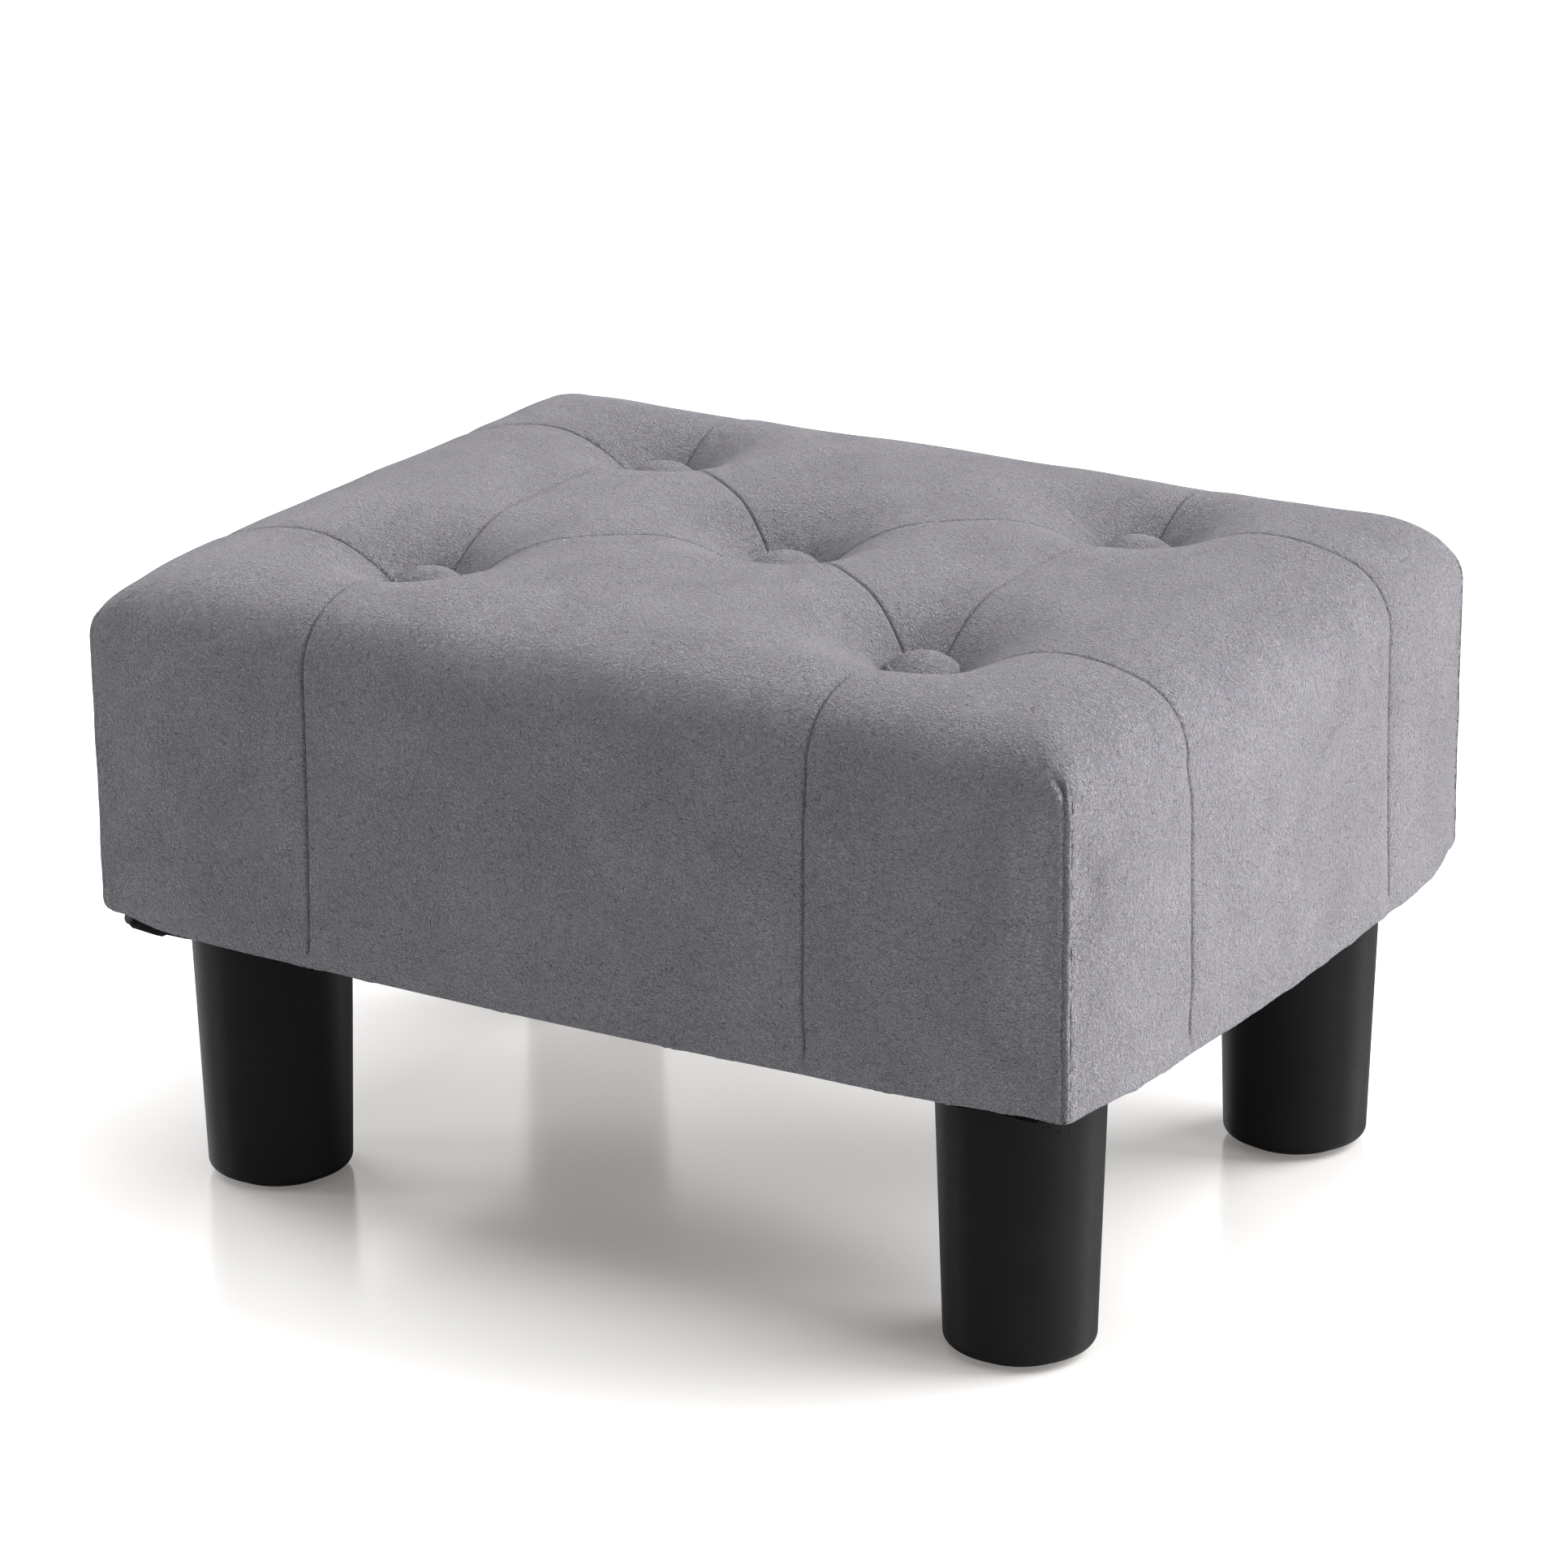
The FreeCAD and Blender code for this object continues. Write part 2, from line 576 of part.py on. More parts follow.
def leg_radius(z):
    """Outside radius of the tapered leg at a height."""
    share = (z - FOOT_PAD_STAND_OFF) / LEG_LENGTH
    return LEG_FOOT_RADIUS + (LEG_TOP_RADIUS - LEG_FOOT_RADIUS) * share


def leg(bolt, pad):
    """Moulded leg: tapered wall, closed foot with a round rim, middle boss and ribs inside."""
    foot = FOOT_PAD_STAND_OFF
    turn = LEG_RIM_RADIUS * (1 - math.sqrt(0.5))
    rim_top = V(leg_radius(foot + LEG_RIM_RADIUS), 0, foot + LEG_RIM_RADIUS)
    rim_foot = V(rim_top.x - LEG_RIM_RADIUS, 0, foot)
    rim = arc(rim_foot, V(rim_top.x - turn, 0, foot + turn), rim_top)
    skin = revolved([rim] + polyline([rim_top, V(LEG_TOP_RADIUS, 0, LEG_TOP_Z), V(0, 0, LEG_TOP_Z),
                                      V(0, 0, foot), rim_foot]))
    floor = foot + LEG_FLOOR
    low = leg_radius(floor) - LEG_WALL
    high = LEG_TOP_RADIUS - LEG_WALL
    hollow = revolved(polyline([V(LEG_BOSS_RADIUS, 0, floor), V(low, 0, floor), V(high, 0, LEG_TOP_Z),
                                V(LEG_BOSS_RADIUS, 0, LEG_TOP_Z), V(LEG_BOSS_RADIUS, 0, floor)]))
    ribs = []
    for k in range(LEG_RIB_COUNT):
        rib = box(LEG_BOSS_RADIUS - LEG_WALL / 2, -LEG_RIB_THICKNESS / 2, floor,
                  high + LEG_WALL / 2, LEG_RIB_THICKNESS / 2, LEG_TOP_Z)
        rib.rotate(V(0, 0, 0), UP, 360 / LEG_RIB_COUNT * k)
        ribs.append(rib)
    return skin.cut(hollow.cut(ribs)).cut([bolt, pad])


def foot_pad():
    """Non-slip disc let into the leg's foot; the stool stands on it."""
    top = FOOT_PAD_STAND_OFF + FOOT_PAD_RECESS
    r = FOOT_PAD_RADIUS
    edge = FOOT_PAD_EDGE
    return revolved(polyline([V(0, 0, 0), V(r - edge, 0, 0), V(r, 0, edge), V(r, 0, top),
                              V(0, 0, top), V(0, 0, 0)]))


# Button, made about its own axis

def button_dome(inset):
    """The button's outside form, drawn in by inset: short straight rim and a low dome."""
    base = TUFT_FLOOR_Z + inset
    r = BUTTON_RADIUS - inset
    rim = base + BUTTON_RIM_HEIGHT
    crown = TUFT_FLOOR_Z + BUTTON_HEIGHT - inset
    rise = crown - rim
    sphere = (r * r + rise * rise) / (2 * rise)
    half_angle = math.asin(r / sphere) / 2
    middle = V(sphere * math.sin(half_angle), 0, crown - sphere * (1 - math.cos(half_angle)))
    dome = arc(V(r, 0, rim), middle, V(0, 0, crown))
    return revolved([dome] + polyline([V(0, 0, crown), V(0, 0, base), V(r, 0, base), V(r, 0, rim)]))


def button_cap():
    """The button's cloth: over the dome and tucked under the rim."""
    tuck = Part.makeCylinder(BUTTON_RADIUS - BUTTON_TUCK, BUTTON_CLOTH, V(0, 0, TUFT_FLOOR_Z))
    return button_dome(0.0).cut(button_dome(BUTTON_CLOTH)).cut(tuck)


def button_core():
    """The button's moulded dome with a flat shank underneath, slotted for the twine."""
    base = TUFT_FLOOR_Z + BUTTON_CLOTH
    half = SHANK_THICKNESS / 2
    slot = SHANK_SLOT_WIDTH / 2
    low = base - SHANK_SLOT_DROP
    shank = box(-SHANK_WIDTH / 2, -half, base - SHANK_LENGTH, SHANK_WIDTH / 2, half, base)
    opening = box(-slot, -half, low, slot, half, low + SHANK_SLOT_HEIGHT)
    return button_dome(BUTTON_CLOTH).fuse(shank.cut(opening))


def button_twine():
    """Flat waxed twine: a loop through the shank's slot and round the peg under the deck."""
    half = TWINE_WIDTH / 2
    inner = TWINE_OFFSET
    outer = inner + TWINE_THICKNESS
    top = TUFT_FLOOR_Z + BUTTON_CLOTH - SHANK_SLOT_DROP + TWINE_CLEARANCE + TWINE_THICKNESS
    low = DECK_BOTTOM_Z - TOGGLE_RADIUS * 2 - TWINE_CLEARANCE
    loop = box(-half, -outer, low - TWINE_THICKNESS, half, outer, top)
    return loop.cut(box(-half, -inner, low, half, inner, top - TWINE_THICKNESS))


def button_toggle():
    """Wooden peg under the deck that the twine goes round."""
    return Part.makeCylinder(TOGGLE_RADIUS, TOGGLE_LENGTH,
                             V(-TOGGLE_LENGTH / 2, 0, DECK_BOTTOM_Z - TOGGLE_RADIUS), V(1, 0, 0))


def export(name, shape):
    """Write one sub-part."""
    shape.exportStep(os.path.join("parts", name + ".step"))


def main():
    os.makedirs("parts", exist_ok=True)

    rail_screws = frame_screws()
    corner_screws = plate_screws()
    top_screws = deck_screws()
    hem_wires = hem_staples()
    dust_wires = dust_cover_staples()

    rail_cutters = rail_screws + corner_screws + top_screws + hem_wires + dust_wires
    export("front_rail", rail_long(-1, rail_cutters))
    export("back_rail", rail_long(1, rail_cutters))
    export("left_rail", rail_short(-1, rail_cutters))
    export("right_rail", rail_short(1, rail_cutters))
    export("deck_board", deck_board(top_screws))
    export("frame_screws", Part.makeCompound(rail_screws))
    export("leg_plate_screws", Part.makeCompound(corner_screws))
    export("deck_screws", Part.makeCompound(top_screws))

    padding = inner_quarter(PADDING_INSET, FRAME_BOTTOM_Z,
                            TUFT_FLOOR_Z - COVER_THICKNESS - COVER_GAP)
    export("foam_pad", foam_pad(padding))
    export("side_wadding", side_wadding(padding))
    export("cover", cover(hem_wires + dust_wires))
    export("cover_staples", Part.makeCompound(hem_wires))
    export("dust_cover", dust_cover(dust_wires))
    export("dust_cover_staples", Part.makeCompound(dust_wires))

    bolt = leg_bolt()
    pad = foot_pad()
    one_leg = leg(bolt, pad)
    nut = tee_nut()
    for name, (sx, sy) in CORNERS.items():
        x = sx * LEG_X
        y = sy * LEG_Y
        nut_here = moved(nut, x, y)
        barrel = Part.makeCylinder(TEE_NUT_BARREL_RADIUS, LEG_PLATE_THICKNESS,
                                   V(x, y, SEAT_BOTTOM_Z))
        plate = mirrored_to(leg_plate(), sx, sy)
        export("leg_plate_" + name, plate.cut([barrel, nut_here] + corner_screws))
        export("tee_nut_" + name, nut_here)
        export("leg_bolt_" + name, moved(bolt, x, y))
        export("leg_" + name, moved(one_leg, x, y))
        export("foot_pad_" + name, moved(pad, x, y))

    cap = button_cap()
    core = button_core()
    twine = button_twine()
    toggle = button_toggle()
    for name, (x, y) in BUTTONS.items():
        export("button_cap_" + name, moved(cap, x, y))
        export("button_core_" + name, moved(core, x, y))
        export("button_twine_" + name, moved(twine, x, y))
        export("button_toggle_" + name, moved(toggle, x, y))


main()
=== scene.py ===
import math

import bmesh
import bpy
import numpy as np
from mathutils import Matrix, Vector


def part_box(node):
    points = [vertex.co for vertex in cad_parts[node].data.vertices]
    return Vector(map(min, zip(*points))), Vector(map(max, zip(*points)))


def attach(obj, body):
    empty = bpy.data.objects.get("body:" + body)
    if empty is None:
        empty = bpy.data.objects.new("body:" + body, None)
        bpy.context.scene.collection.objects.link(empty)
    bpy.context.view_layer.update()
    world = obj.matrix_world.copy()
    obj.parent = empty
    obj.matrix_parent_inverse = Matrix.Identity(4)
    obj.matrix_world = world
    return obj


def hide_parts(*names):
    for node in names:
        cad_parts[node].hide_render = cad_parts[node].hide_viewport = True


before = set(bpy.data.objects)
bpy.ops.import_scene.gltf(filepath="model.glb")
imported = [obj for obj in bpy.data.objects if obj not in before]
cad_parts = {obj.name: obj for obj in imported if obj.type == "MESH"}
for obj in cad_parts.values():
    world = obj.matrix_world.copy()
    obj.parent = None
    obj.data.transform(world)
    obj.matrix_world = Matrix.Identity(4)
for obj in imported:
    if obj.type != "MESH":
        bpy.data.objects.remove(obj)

# Upholstered footstool in grey velvet. Metres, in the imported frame: X along the long side,
# Y from front to back, Z up, the floor at zero.

MM = 0.001

# The seat's form, as in the CAD
SEAT_LENGTH = 390 * MM
SEAT_WIDTH = 300 * MM
END_SWELL = 4.6 * MM
SIDE_SWELL = 4.4 * MM
PANEL_SWELL = 1.4 * MM
HEM_WIDTH = 16 * MM
ROLL_RADIUS = 26 * MM
ROLL_ANGLE = math.radians(70)
CROWN_RADIUS = 90 * MM
CORNER_RADIUS = 5.5 * MM
CORNER_RADIUS_TOP = 16 * MM
TUFT_RADIUS = 52 * MM
TUFT_LIP_RADIUS = 12.9 * MM
TUFT_LIP_DEPTH = 15 * MM
TUFT_DEPTH = 18.4 * MM

# The hem: its fold, the swell there as a share of the sides' swell above, and its waves as height, length
HEM_ROUND = 1.2 * MM
HEM_SWELL = 1.5
SWELL_RISE = 90 * MM
HEM_WAVE_HALF_HEIGHT = 5 * MM
HEM_LONG_WAVE = (0.3 * MM, 26 * MM)
HEM_SHORT_WAVE = (0.14 * MM, 3 * MM)
HEM_UNDERSIDE = 0.9
HEM_CORNER_ROUND = {"front_left": 7 * MM, "back_left": 6 * MM, "back_right": 6 * MM}
HEM_CORNER_HALF_WIDTH = 16 * MM
TIP_DROP = 1.6 * MM
TIP_HALF_WIDTH = 8 * MM
TIP_HALF_HEIGHT = 7 * MM

# How finely the cloth's mesh is made
CLOTH_STEP = 1.7 * MM
CORNER_STEPS = 20
HEM_LEVELS = 7
HEM_ROUND_LEVELS = 5
SEAM_CUTS = [off * MM for off in (-2.6, -1.6, -1.0, -0.6, -0.25, 0, 0.25, 0.6, 1.0, 1.6, 2.6)]
SEAM_CUT_REACH = 6 * MM
MERGE_DISTANCE = 0.005 * MM
CUT_TOLERANCE = 0.02 * MM
FLAT_TOP = 0.01 * MM
TINY = 1e-9
NO_LENGTH = 1e-12

# The cloth simulation that fills the pillows, on one point in four each way
SIM_SHARE = 4
SIM_FRAMES = 20
SIM_QUALITY = 6
SIM_PRESSURE = 4
SIM_STRETCH_STIFFNESS = 40
SIM_BENDING_STIFFNESS = 4
SIM_SLACK = 1.0 * MM
HELD_BESIDE_SEAM = 3 * MM
HELD_ABOVE_HEM = 6 * MM
HELD_ROUND_BUTTON = TUFT_LIP_RADIUS * 1.4
PILLOW_CAP = 1.6 * MM
PILLOW_SINK = -0.2 * PILLOW_CAP

# Seams of the velvet: a shallow valley with a sharp pinch in it, both ending above the hem
VALLEY_DEPTH = 0.34 * MM
VALLEY_HALF_WIDTH = 5.5 * MM
VALLEY_GROWTH = 1.2
VALLEY_GROWTH_HALF_WIDTH = 16 * MM
PINCH_DEPTH = 1.3 * MM
PINCH_HALF_WIDTH = 0.45 * MM
SEAM_END = 1 * MM
SEAM_END_FADE = 10 * MM

# Pull of the buttons and slack of the cloth. Only what lies this far under the top or higher is pulled down.
TUFTS_FROM = 12 * MM
TUFT_LIP_ROUND = 2.5 * MM
WIDE_DIP = 2.0 * MM
WIDE_DIP_HALF_WIDTH = 42 * MM
GATHER_COUNT = 9
GATHER_DEPTH = 0.25 * MM
GATHER_FROM_LIP = 2 * MM
GATHER_HALF_WIDTH = 6 * MM
GATHER_DRIFT = 1.5
GATHER_DRIFT_LENGTH = 90 * MM
UNEVEN = 0.22 * MM
UNEVEN_LONG = 60 * MM
UNEVEN_SHORT = 38 * MM
UNEVEN_SHORT_SHARE = 0.6
UNEVEN_FADE = 9 * MM

# Where the rolled edge lies lower: at the two front corners, along the left end and along the back
CORNER_SAG = 2.4 * MM
CORNER_SAG_FROM_BUTTON = 22 * MM
CORNER_SAG_HALF_WIDTH = 30 * MM
LEFT_EDGE_DROP = 4.2 * MM
LEFT_EDGE_HALF_WIDTH = 48 * MM
BACK_EDGE_DROP = 2.8 * MM
BACK_EDGE_HALF_WIDTH = 42 * MM
STIFF_CORNER_INSET = 12 * MM
STIFF_CORNER_HALF_WIDTH = 38 * MM
STIFF_CORNER_SHARE = 0.8

# The folded seam up each corner: a ridge that wanders and is ragged, as depth, length, and a crease
RIDGE_HEIGHT = 0.9 * MM
RIDGE_HALF_WIDTH = 1.0 * MM
RIDGE_WANDER = (0.3 * MM, 22 * MM)
RIDGE_RAGGED = (0.22 * MM, 2.4 * MM)
RIDGE_EDGE_RAGGED = 0.6
RIDGE_REACH = 5 * CORNER_RADIUS_TOP
RIDGE_FOOT_FADE = 2 * MM
RIDGE_END = 6 * MM
RIDGE_END_FADE = 7 * MM
CREASE_DEPTH = 0.5 * MM
CREASE_HALF_WIDTH = 0.4 * MM
CREASE_FROM_RIDGE = 1.7 * MM
CREASE_EDGE_RAGGED = 0.5

# The short curved fold at the near corner: its ends as x and z, its height and the hollow beside it
PLEAT_START = (SEAT_LENGTH / 2 - 11.5 * MM, 221.0 * MM)
PLEAT_END = (SEAT_LENGTH / 2 - 3.0 * MM, 214.0 * MM)
PLEAT_BOW = 1.2 * MM
PLEAT_RISE_SHARE = 0.5
PLEAT_FALL_START = 0.85
PLEAT_FALL_SHARE = 0.25
PLEAT_DEPTH = 1.9 * MM
PLEAT_HALF_WIDTH = 0.8 * MM
PLEAT_HOLLOW = 0.5 * MM
PLEAT_HOLLOW_PLACE = 2 * MM
PLEAT_HOLLOW_HALF_WIDTH = 1.8 * MM

# Covered buttons: the rim's height, and the rings of the dome, of the bend at its edge and of the rim
BUTTON_RIM = 3.4 * MM
BUTTON_PUFF = {"front_right": 0.4 * MM, "back_right": 0.4 * MM}
BUTTON_AROUND = 144
DOME_RINGS = 16
DOME_START = 0.02
DOME_SHARE = 0.93
BEND_RINGS = 9
BEND_START = 0.15
BEND_SHARE = 0.07
RIM_RINGS = 6
RIM_START = 0.2
RIM_TOP_SHARE = 0.72
RIM_NARROWING = 0.03
UNDERSIDE_SHARE = 0.64
BUTTON_PLEAT_COUNTS = (11, 17, 23)
BUTTON_PLEAT_DEPTH = 0.22 * MM
BUTTON_PLEAT_RING = 14
BUTTON_PLEAT_FADE = 10
BUTTON_UNEVEN = (0.12 * MM, 9 * MM)

# Dust cover under the seat, its edge hanging a little below the hem, with a loose flap at the front left
DUST_WIDTH = 386 * MM
DUST_DEPTH = 296 * MM
DUST_STEP = 2 * MM
DUST_BELOW_FRAME = 0.15 * MM
DUST_THICKNESS = 0.35 * MM
DUST_EDGE_SAG = 2.1 * MM
DUST_EDGE_HALF_WIDTH = 3.5 * MM
DUST_PUCKER = 0.16
DUST_PUCKER_LENGTH = 24 * MM
DUST_CORNER_ROUND = 15 * MM
FLAP_PLACE = 17 * MM
FLAP_HALF_WIDTH = 9 * MM
FLAP_SOFTNESS = 2 * MM
FLAP_DEPTH = 3 * MM
FLAP_DROP = 1.0 * MM
BOLT_ROOM = 4.8 * MM

# Frayed threads: where each starts, in millimetres along the front from the near corner
THREAD_STARTS = (-11.5, -9.5, -8.0, -5.5, -2.0, 0.5)
THREAD_LEAN = (-2.5, 3.0)
THREAD_RADIUS = 0.22 * MM

# The photograph's camera
CAMERA_PLACE = (0.9836, -1.6287, 0.8027)
CAMERA_AZIMUTH = math.radians(31.1614)
CAMERA_ELEVATION = math.radians(19.163)
CAMERA_ROLL = math.radians(-0.5205)
CAMERA_LENS = 129.53
CAMERA_FAR = 50

# The floor and the light all round. Near the stool the floor's painted glow is weaker, a painted shade that
# fades out.
FLOOR_REACH = 6.0
# Half sizes of the painted shade round the stool's footprint, and how far it fades into the painted glow
PAINTED_SHADE_HALF_X = 160 * MM
PAINTED_SHADE_HALF_Y = 115 * MM
PAINTED_SHADE_FADE = 150 * MM
AMBIENT = 0.12

CORNERS = {"front_left": (-1, -1), "front_right": (1, -1), "back_left": (-1, 1), "back_right": (1, 1)}
BUTTON_NAMES = list(CORNERS) + ["middle"]

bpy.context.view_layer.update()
cover_low, cover_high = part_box("cover")
SEAT_BOTTOM = cover_low.z
SEAT_TOP = cover_high.z


def middle_of(node):
    """The middle of a CAD node's box."""
    low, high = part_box(node)
    return (low + high) / 2


BUTTON_PLACES = {name: middle_of("button_cap_" + name) for name in BUTTON_NAMES}
BUTTON_X = BUTTON_PLACES["back_right"].x
BUTTON_Y = BUTTON_PLACES["back_right"].y
SHOULDER = SEAT_TOP - ROLL_RADIUS * math.sin(ROLL_ANGLE) - CROWN_RADIUS * (1 - math.sin(ROLL_ANGLE))
SIDE_COUNT = int(2 * BUTTON_Y / CLOTH_STEP)
END_COUNT = int((SEAT_WIDTH / 2 - BUTTON_Y) / CLOTH_STEP)
FRONT_COUNT = int(2 * BUTTON_X / CLOTH_STEP)
EDGE_COUNT = int((SEAT_LENGTH / 2 - BUTTON_X) / CLOTH_STEP)


# Mesh helpers

def mesh_piece(name, points, faces, material):
    """A smooth mesh object from points and faces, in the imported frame."""
    mesh = bpy.data.meshes.new(name)
    mesh.from_pydata([tuple(p) for p in points], [], [tuple(f) for f in faces])
    mesh.update()
    piece = bpy.data.objects.new(name, mesh)
    bpy.context.scene.collection.objects.link(piece)
    if material:
        mesh.materials.append(material)
    make_smooth(mesh)
    return piece


def make_smooth(mesh):
    """Smooth shading on every face."""
    mesh.polygons.foreach_set("use_smooth", [True] * len(mesh.polygons))


def grid_faces(rows, columns, closed=True):
    """Quads of a grid of points, row by row, each row closed on itself or open."""
    last = columns if closed else columns - 1
    return [(r * columns + c, r * columns + (c + 1) % columns,
             (r + 1) * columns + (c + 1) % columns, (r + 1) * columns + c)
            for r in range(rows - 1) for c in range(last)]


def points_of(mesh):
    """A mesh's points as an array."""
    flat = np.empty(len(mesh.vertices) * 3)
    mesh.vertices.foreach_get("co", flat)
    return flat.reshape(-1, 3)


def set_points(mesh, points):
    """Put an array of points into a mesh."""
    mesh.vertices.foreach_set("co", points.astype(np.float32).ravel())
    mesh.update()


def normals_of(mesh):
    """A mesh's smooth normals as an array."""
    flat = np.empty(len(mesh.vertices) * 3)
    mesh.vertices.foreach_get("normal", flat)
    return flat.reshape(-1, 3)


def ease(value):
    """Smooth step from 0 to 1, level at both ends."""
    share = np.clip(value, 0, 1)
    return share * share * (3 - 2 * share)


def bell(distance, half_width):
    """A smooth bump of height 1, near zero at twice its half width."""
    return np.exp(-(distance / half_width) ** 2)


def waves(x, y, length, seed, count=7):
    """Gentle seeded unevenness between about -1 and 1, its waves about one length long."""
    pick = np.random.default_rng(seed)
    total = np.zeros_like(x)
    for _ in range(count):
        turn = pick.uniform(0, 2 * math.pi)
        scale = 2 * math.pi / (length * pick.uniform(0.7, 1.5))
        total += np.sin((x * math.cos(turn) + y * math.sin(turn)) * scale + pick.uniform(0, 2 * math.pi))
    return total / math.sqrt(count)


# The seat's outside form

def panel(a, b, count, sag):
    """Points from a up to but not on b, bowed out to the right of the way."""
    a = np.array(a)
    b = np.array(b)
    t = np.arange(count)[:, None] / count
    way = (b - a) / np.linalg.norm(b - a)
    out = np.array([way[1], -way[0]])
    return a + (b - a) * t + out * (4 * sag * t * (1 - t))


def outline(draw_in, swell, corner):
    """Points round one level of the seat, anticlockwise from the front right corner."""
    hx = SEAT_LENGTH / 2 - draw_in
    hy = SEAT_WIDTH / 2 - draw_in
    run = []
    for turn in range(2):
        side = [(hx, corner - hy), (hx + END_SWELL * swell, -BUTTON_Y),
                (hx + END_SWELL * swell, BUTTON_Y), (hx, hy - corner)]
        back = [(hx - corner, hy), (BUTTON_X, hy + SIDE_SWELL * swell),
                (-BUTTON_X, hy + SIDE_SWELL * swell), (corner - hx, hy)]
        half = [panel(a, b, n, PANEL_SWELL * swell)
                for a, b, n in zip(side, side[1:], (END_COUNT, SIDE_COUNT, END_COUNT))]
        half.append(corner_arc(hx - corner, hy - corner, corner, 0))
        half += [panel(a, b, n, PANEL_SWELL * swell)
                 for a, b, n in zip(back, back[1:], (EDGE_COUNT, FRONT_COUNT, EDGE_COUNT))]
        half.append(corner_arc(corner - hx, hy - corner, corner, math.pi / 2))
        half = np.vstack(half)
        run.append(half if turn == 0 else -half)
    return np.vstack(run)


def corner_arc(x, y, radius, start):
    """A quarter turn round a corner, without its last point."""
    angle = start + np.arange(CORNER_STEPS) / CORNER_STEPS * math.pi / 2
    return np.column_stack([x + radius * np.cos(angle), y + radius * np.sin(angle)])


def side_swell(z):
    """The sides' swell at a height, as a share of their full swell."""
    share = np.clip((z - SEAT_BOTTOM - HEM_ROUND) / SWELL_RISE, 0, 1)
    return HEM_SWELL + (1 - HEM_SWELL) * math.sin(share * math.pi / 2)


def levels():
    """Height, draw-in, swell and corner radius of each level: hem, sides, roll and crown."""
    found = []
    for share in np.linspace(0, 1, HEM_LEVELS)[:-1]:
        draw_in = HEM_WIDTH + (HEM_ROUND - HEM_WIDTH) * share
        found.append((SEAT_BOTTOM, draw_in, HEM_SWELL, CORNER_RADIUS))
    for turn in np.linspace(0, math.pi / 2, HEM_ROUND_LEVELS):
        found.append((SEAT_BOTTOM + HEM_ROUND * (1 - math.cos(turn)),
                      HEM_ROUND * (1 - math.sin(turn)), HEM_SWELL, CORNER_RADIUS))
    start = SEAT_BOTTOM + HEM_ROUND
    rise = int((SHOULDER - start) / CLOTH_STEP)
    for k in range(1, rise + 1):
        z = start + (SHOULDER - start) * k / rise
        found.append((z, 0.0, side_swell(z), CORNER_RADIUS))
    over = roll_and_crown()
    for count, (z, draw_in) in enumerate(over, 1):
        growth = (CORNER_RADIUS_TOP - CORNER_RADIUS) * count / len(over)
        found.append((z, draw_in, 1.0, CORNER_RADIUS + growth))
    return found


def roll_and_crown():
    """Height and draw-in of each level over the rolled edge and then over the flatter crown."""
    run = []
    roll_steps = int(ROLL_RADIUS * ROLL_ANGLE / CLOTH_STEP)
    for angle in np.linspace(0, ROLL_ANGLE, roll_steps + 1)[1:]:
        run.append((SHOULDER + ROLL_RADIUS * math.sin(angle), ROLL_RADIUS * (1 - math.cos(angle))))
    quarter = math.pi / 2
    crown_steps = int(CROWN_RADIUS * (quarter - ROLL_ANGLE) / CLOTH_STEP)
    for angle in np.linspace(ROLL_ANGLE, quarter, crown_steps + 1)[1:]:
        run.append((SHOULDER + ROLL_RADIUS * math.sin(ROLL_ANGLE)
                    + CROWN_RADIUS * (math.sin(angle) - math.sin(ROLL_ANGLE)),
                    ROLL_RADIUS * (1 - math.cos(ROLL_ANGLE))
                    + CROWN_RADIUS * (math.cos(ROLL_ANGLE) - math.cos(angle))))
    return run


def seat_grid():
    """The seat's plain outside as rings of points: hem, sides, rolled edge and flat top."""
    rings = []
    for z, draw_in, swell, corner in levels():
        plan = outline(draw_in, swell, corner)
        rings.append(np.column_stack([plan, np.full(len(plan), z)]))
    rim = rings[-1]
    half_x = rim[:, 0].max()
    half_y = rim[:, 1].max()
    count = int(half_y / CLOTH_STEP)
    for k in range(1, count + 1):
        shrink = half_y * k / count
        scale = np.array([1 - shrink / half_x, 1 - shrink / half_y, 1])
        rings.append(rim * scale)
    return np.array(rings)


# Seams and tufts

def top_seams():
    """The seams of the top in plan, as pairs of ends."""
    x, y = BUTTON_X, BUTTON_Y
    far = SEAT_LENGTH
    runs = [((sx * x, -far), (sx * x, far)) for sx in (-1, 1)]
    for sx, sy in CORNERS.values():
        runs.append(((0, 0), (sx * x, sy * y)))
        runs.append(((sx * x, sy * y), (sx * far, sy * y)))
    return runs


SEAMS = top_seams()


def seam_distance(points):
    """Each point's distance in plan from the nearest seam."""
    plan = points[:, :2]
    best = np.full(len(plan), SEAT_LENGTH)
    for a, b in SEAMS:
        a = np.array(a)
        way = np.array(b) - a
        t = np.clip(((plan - a) @ way) / (way @ way), 0, 1)
        best = np.minimum(best, np.linalg.norm(plan - (a + t[:, None] * way), axis=1))
    return best


def button_distance(points):
    """Each point's distance in plan from the nearest button, and that button's place."""
    plan = points[:, :2]
    places = np.array([p[:2] for p in BUTTON_PLACES.values()])
    apart = np.linalg.norm(plan[:, None] - places[None], axis=2)
    nearest = apart.argmin(axis=1)
    return apart[np.arange(len(plan)), nearest], places[nearest]


TUFT_RUN = TUFT_RADIUS - TUFT_LIP_RADIUS
TUFT_ROLL = (TUFT_RUN ** 2 + TUFT_LIP_DEPTH ** 2) / (2 * TUFT_LIP_DEPTH)


def tuft_drop(distance):
    """How far the cloth is pulled down at a distance from a button's middle."""
    run = np.clip(TUFT_RADIUS - distance, 0, TUFT_RUN)
    roll = TUFT_ROLL - np.sqrt(TUFT_ROLL ** 2 - run ** 2)
    under = ease((TUFT_LIP_RADIUS - distance) / TUFT_LIP_ROUND)
    return roll + under * (TUFT_DEPTH - TUFT_LIP_DEPTH)


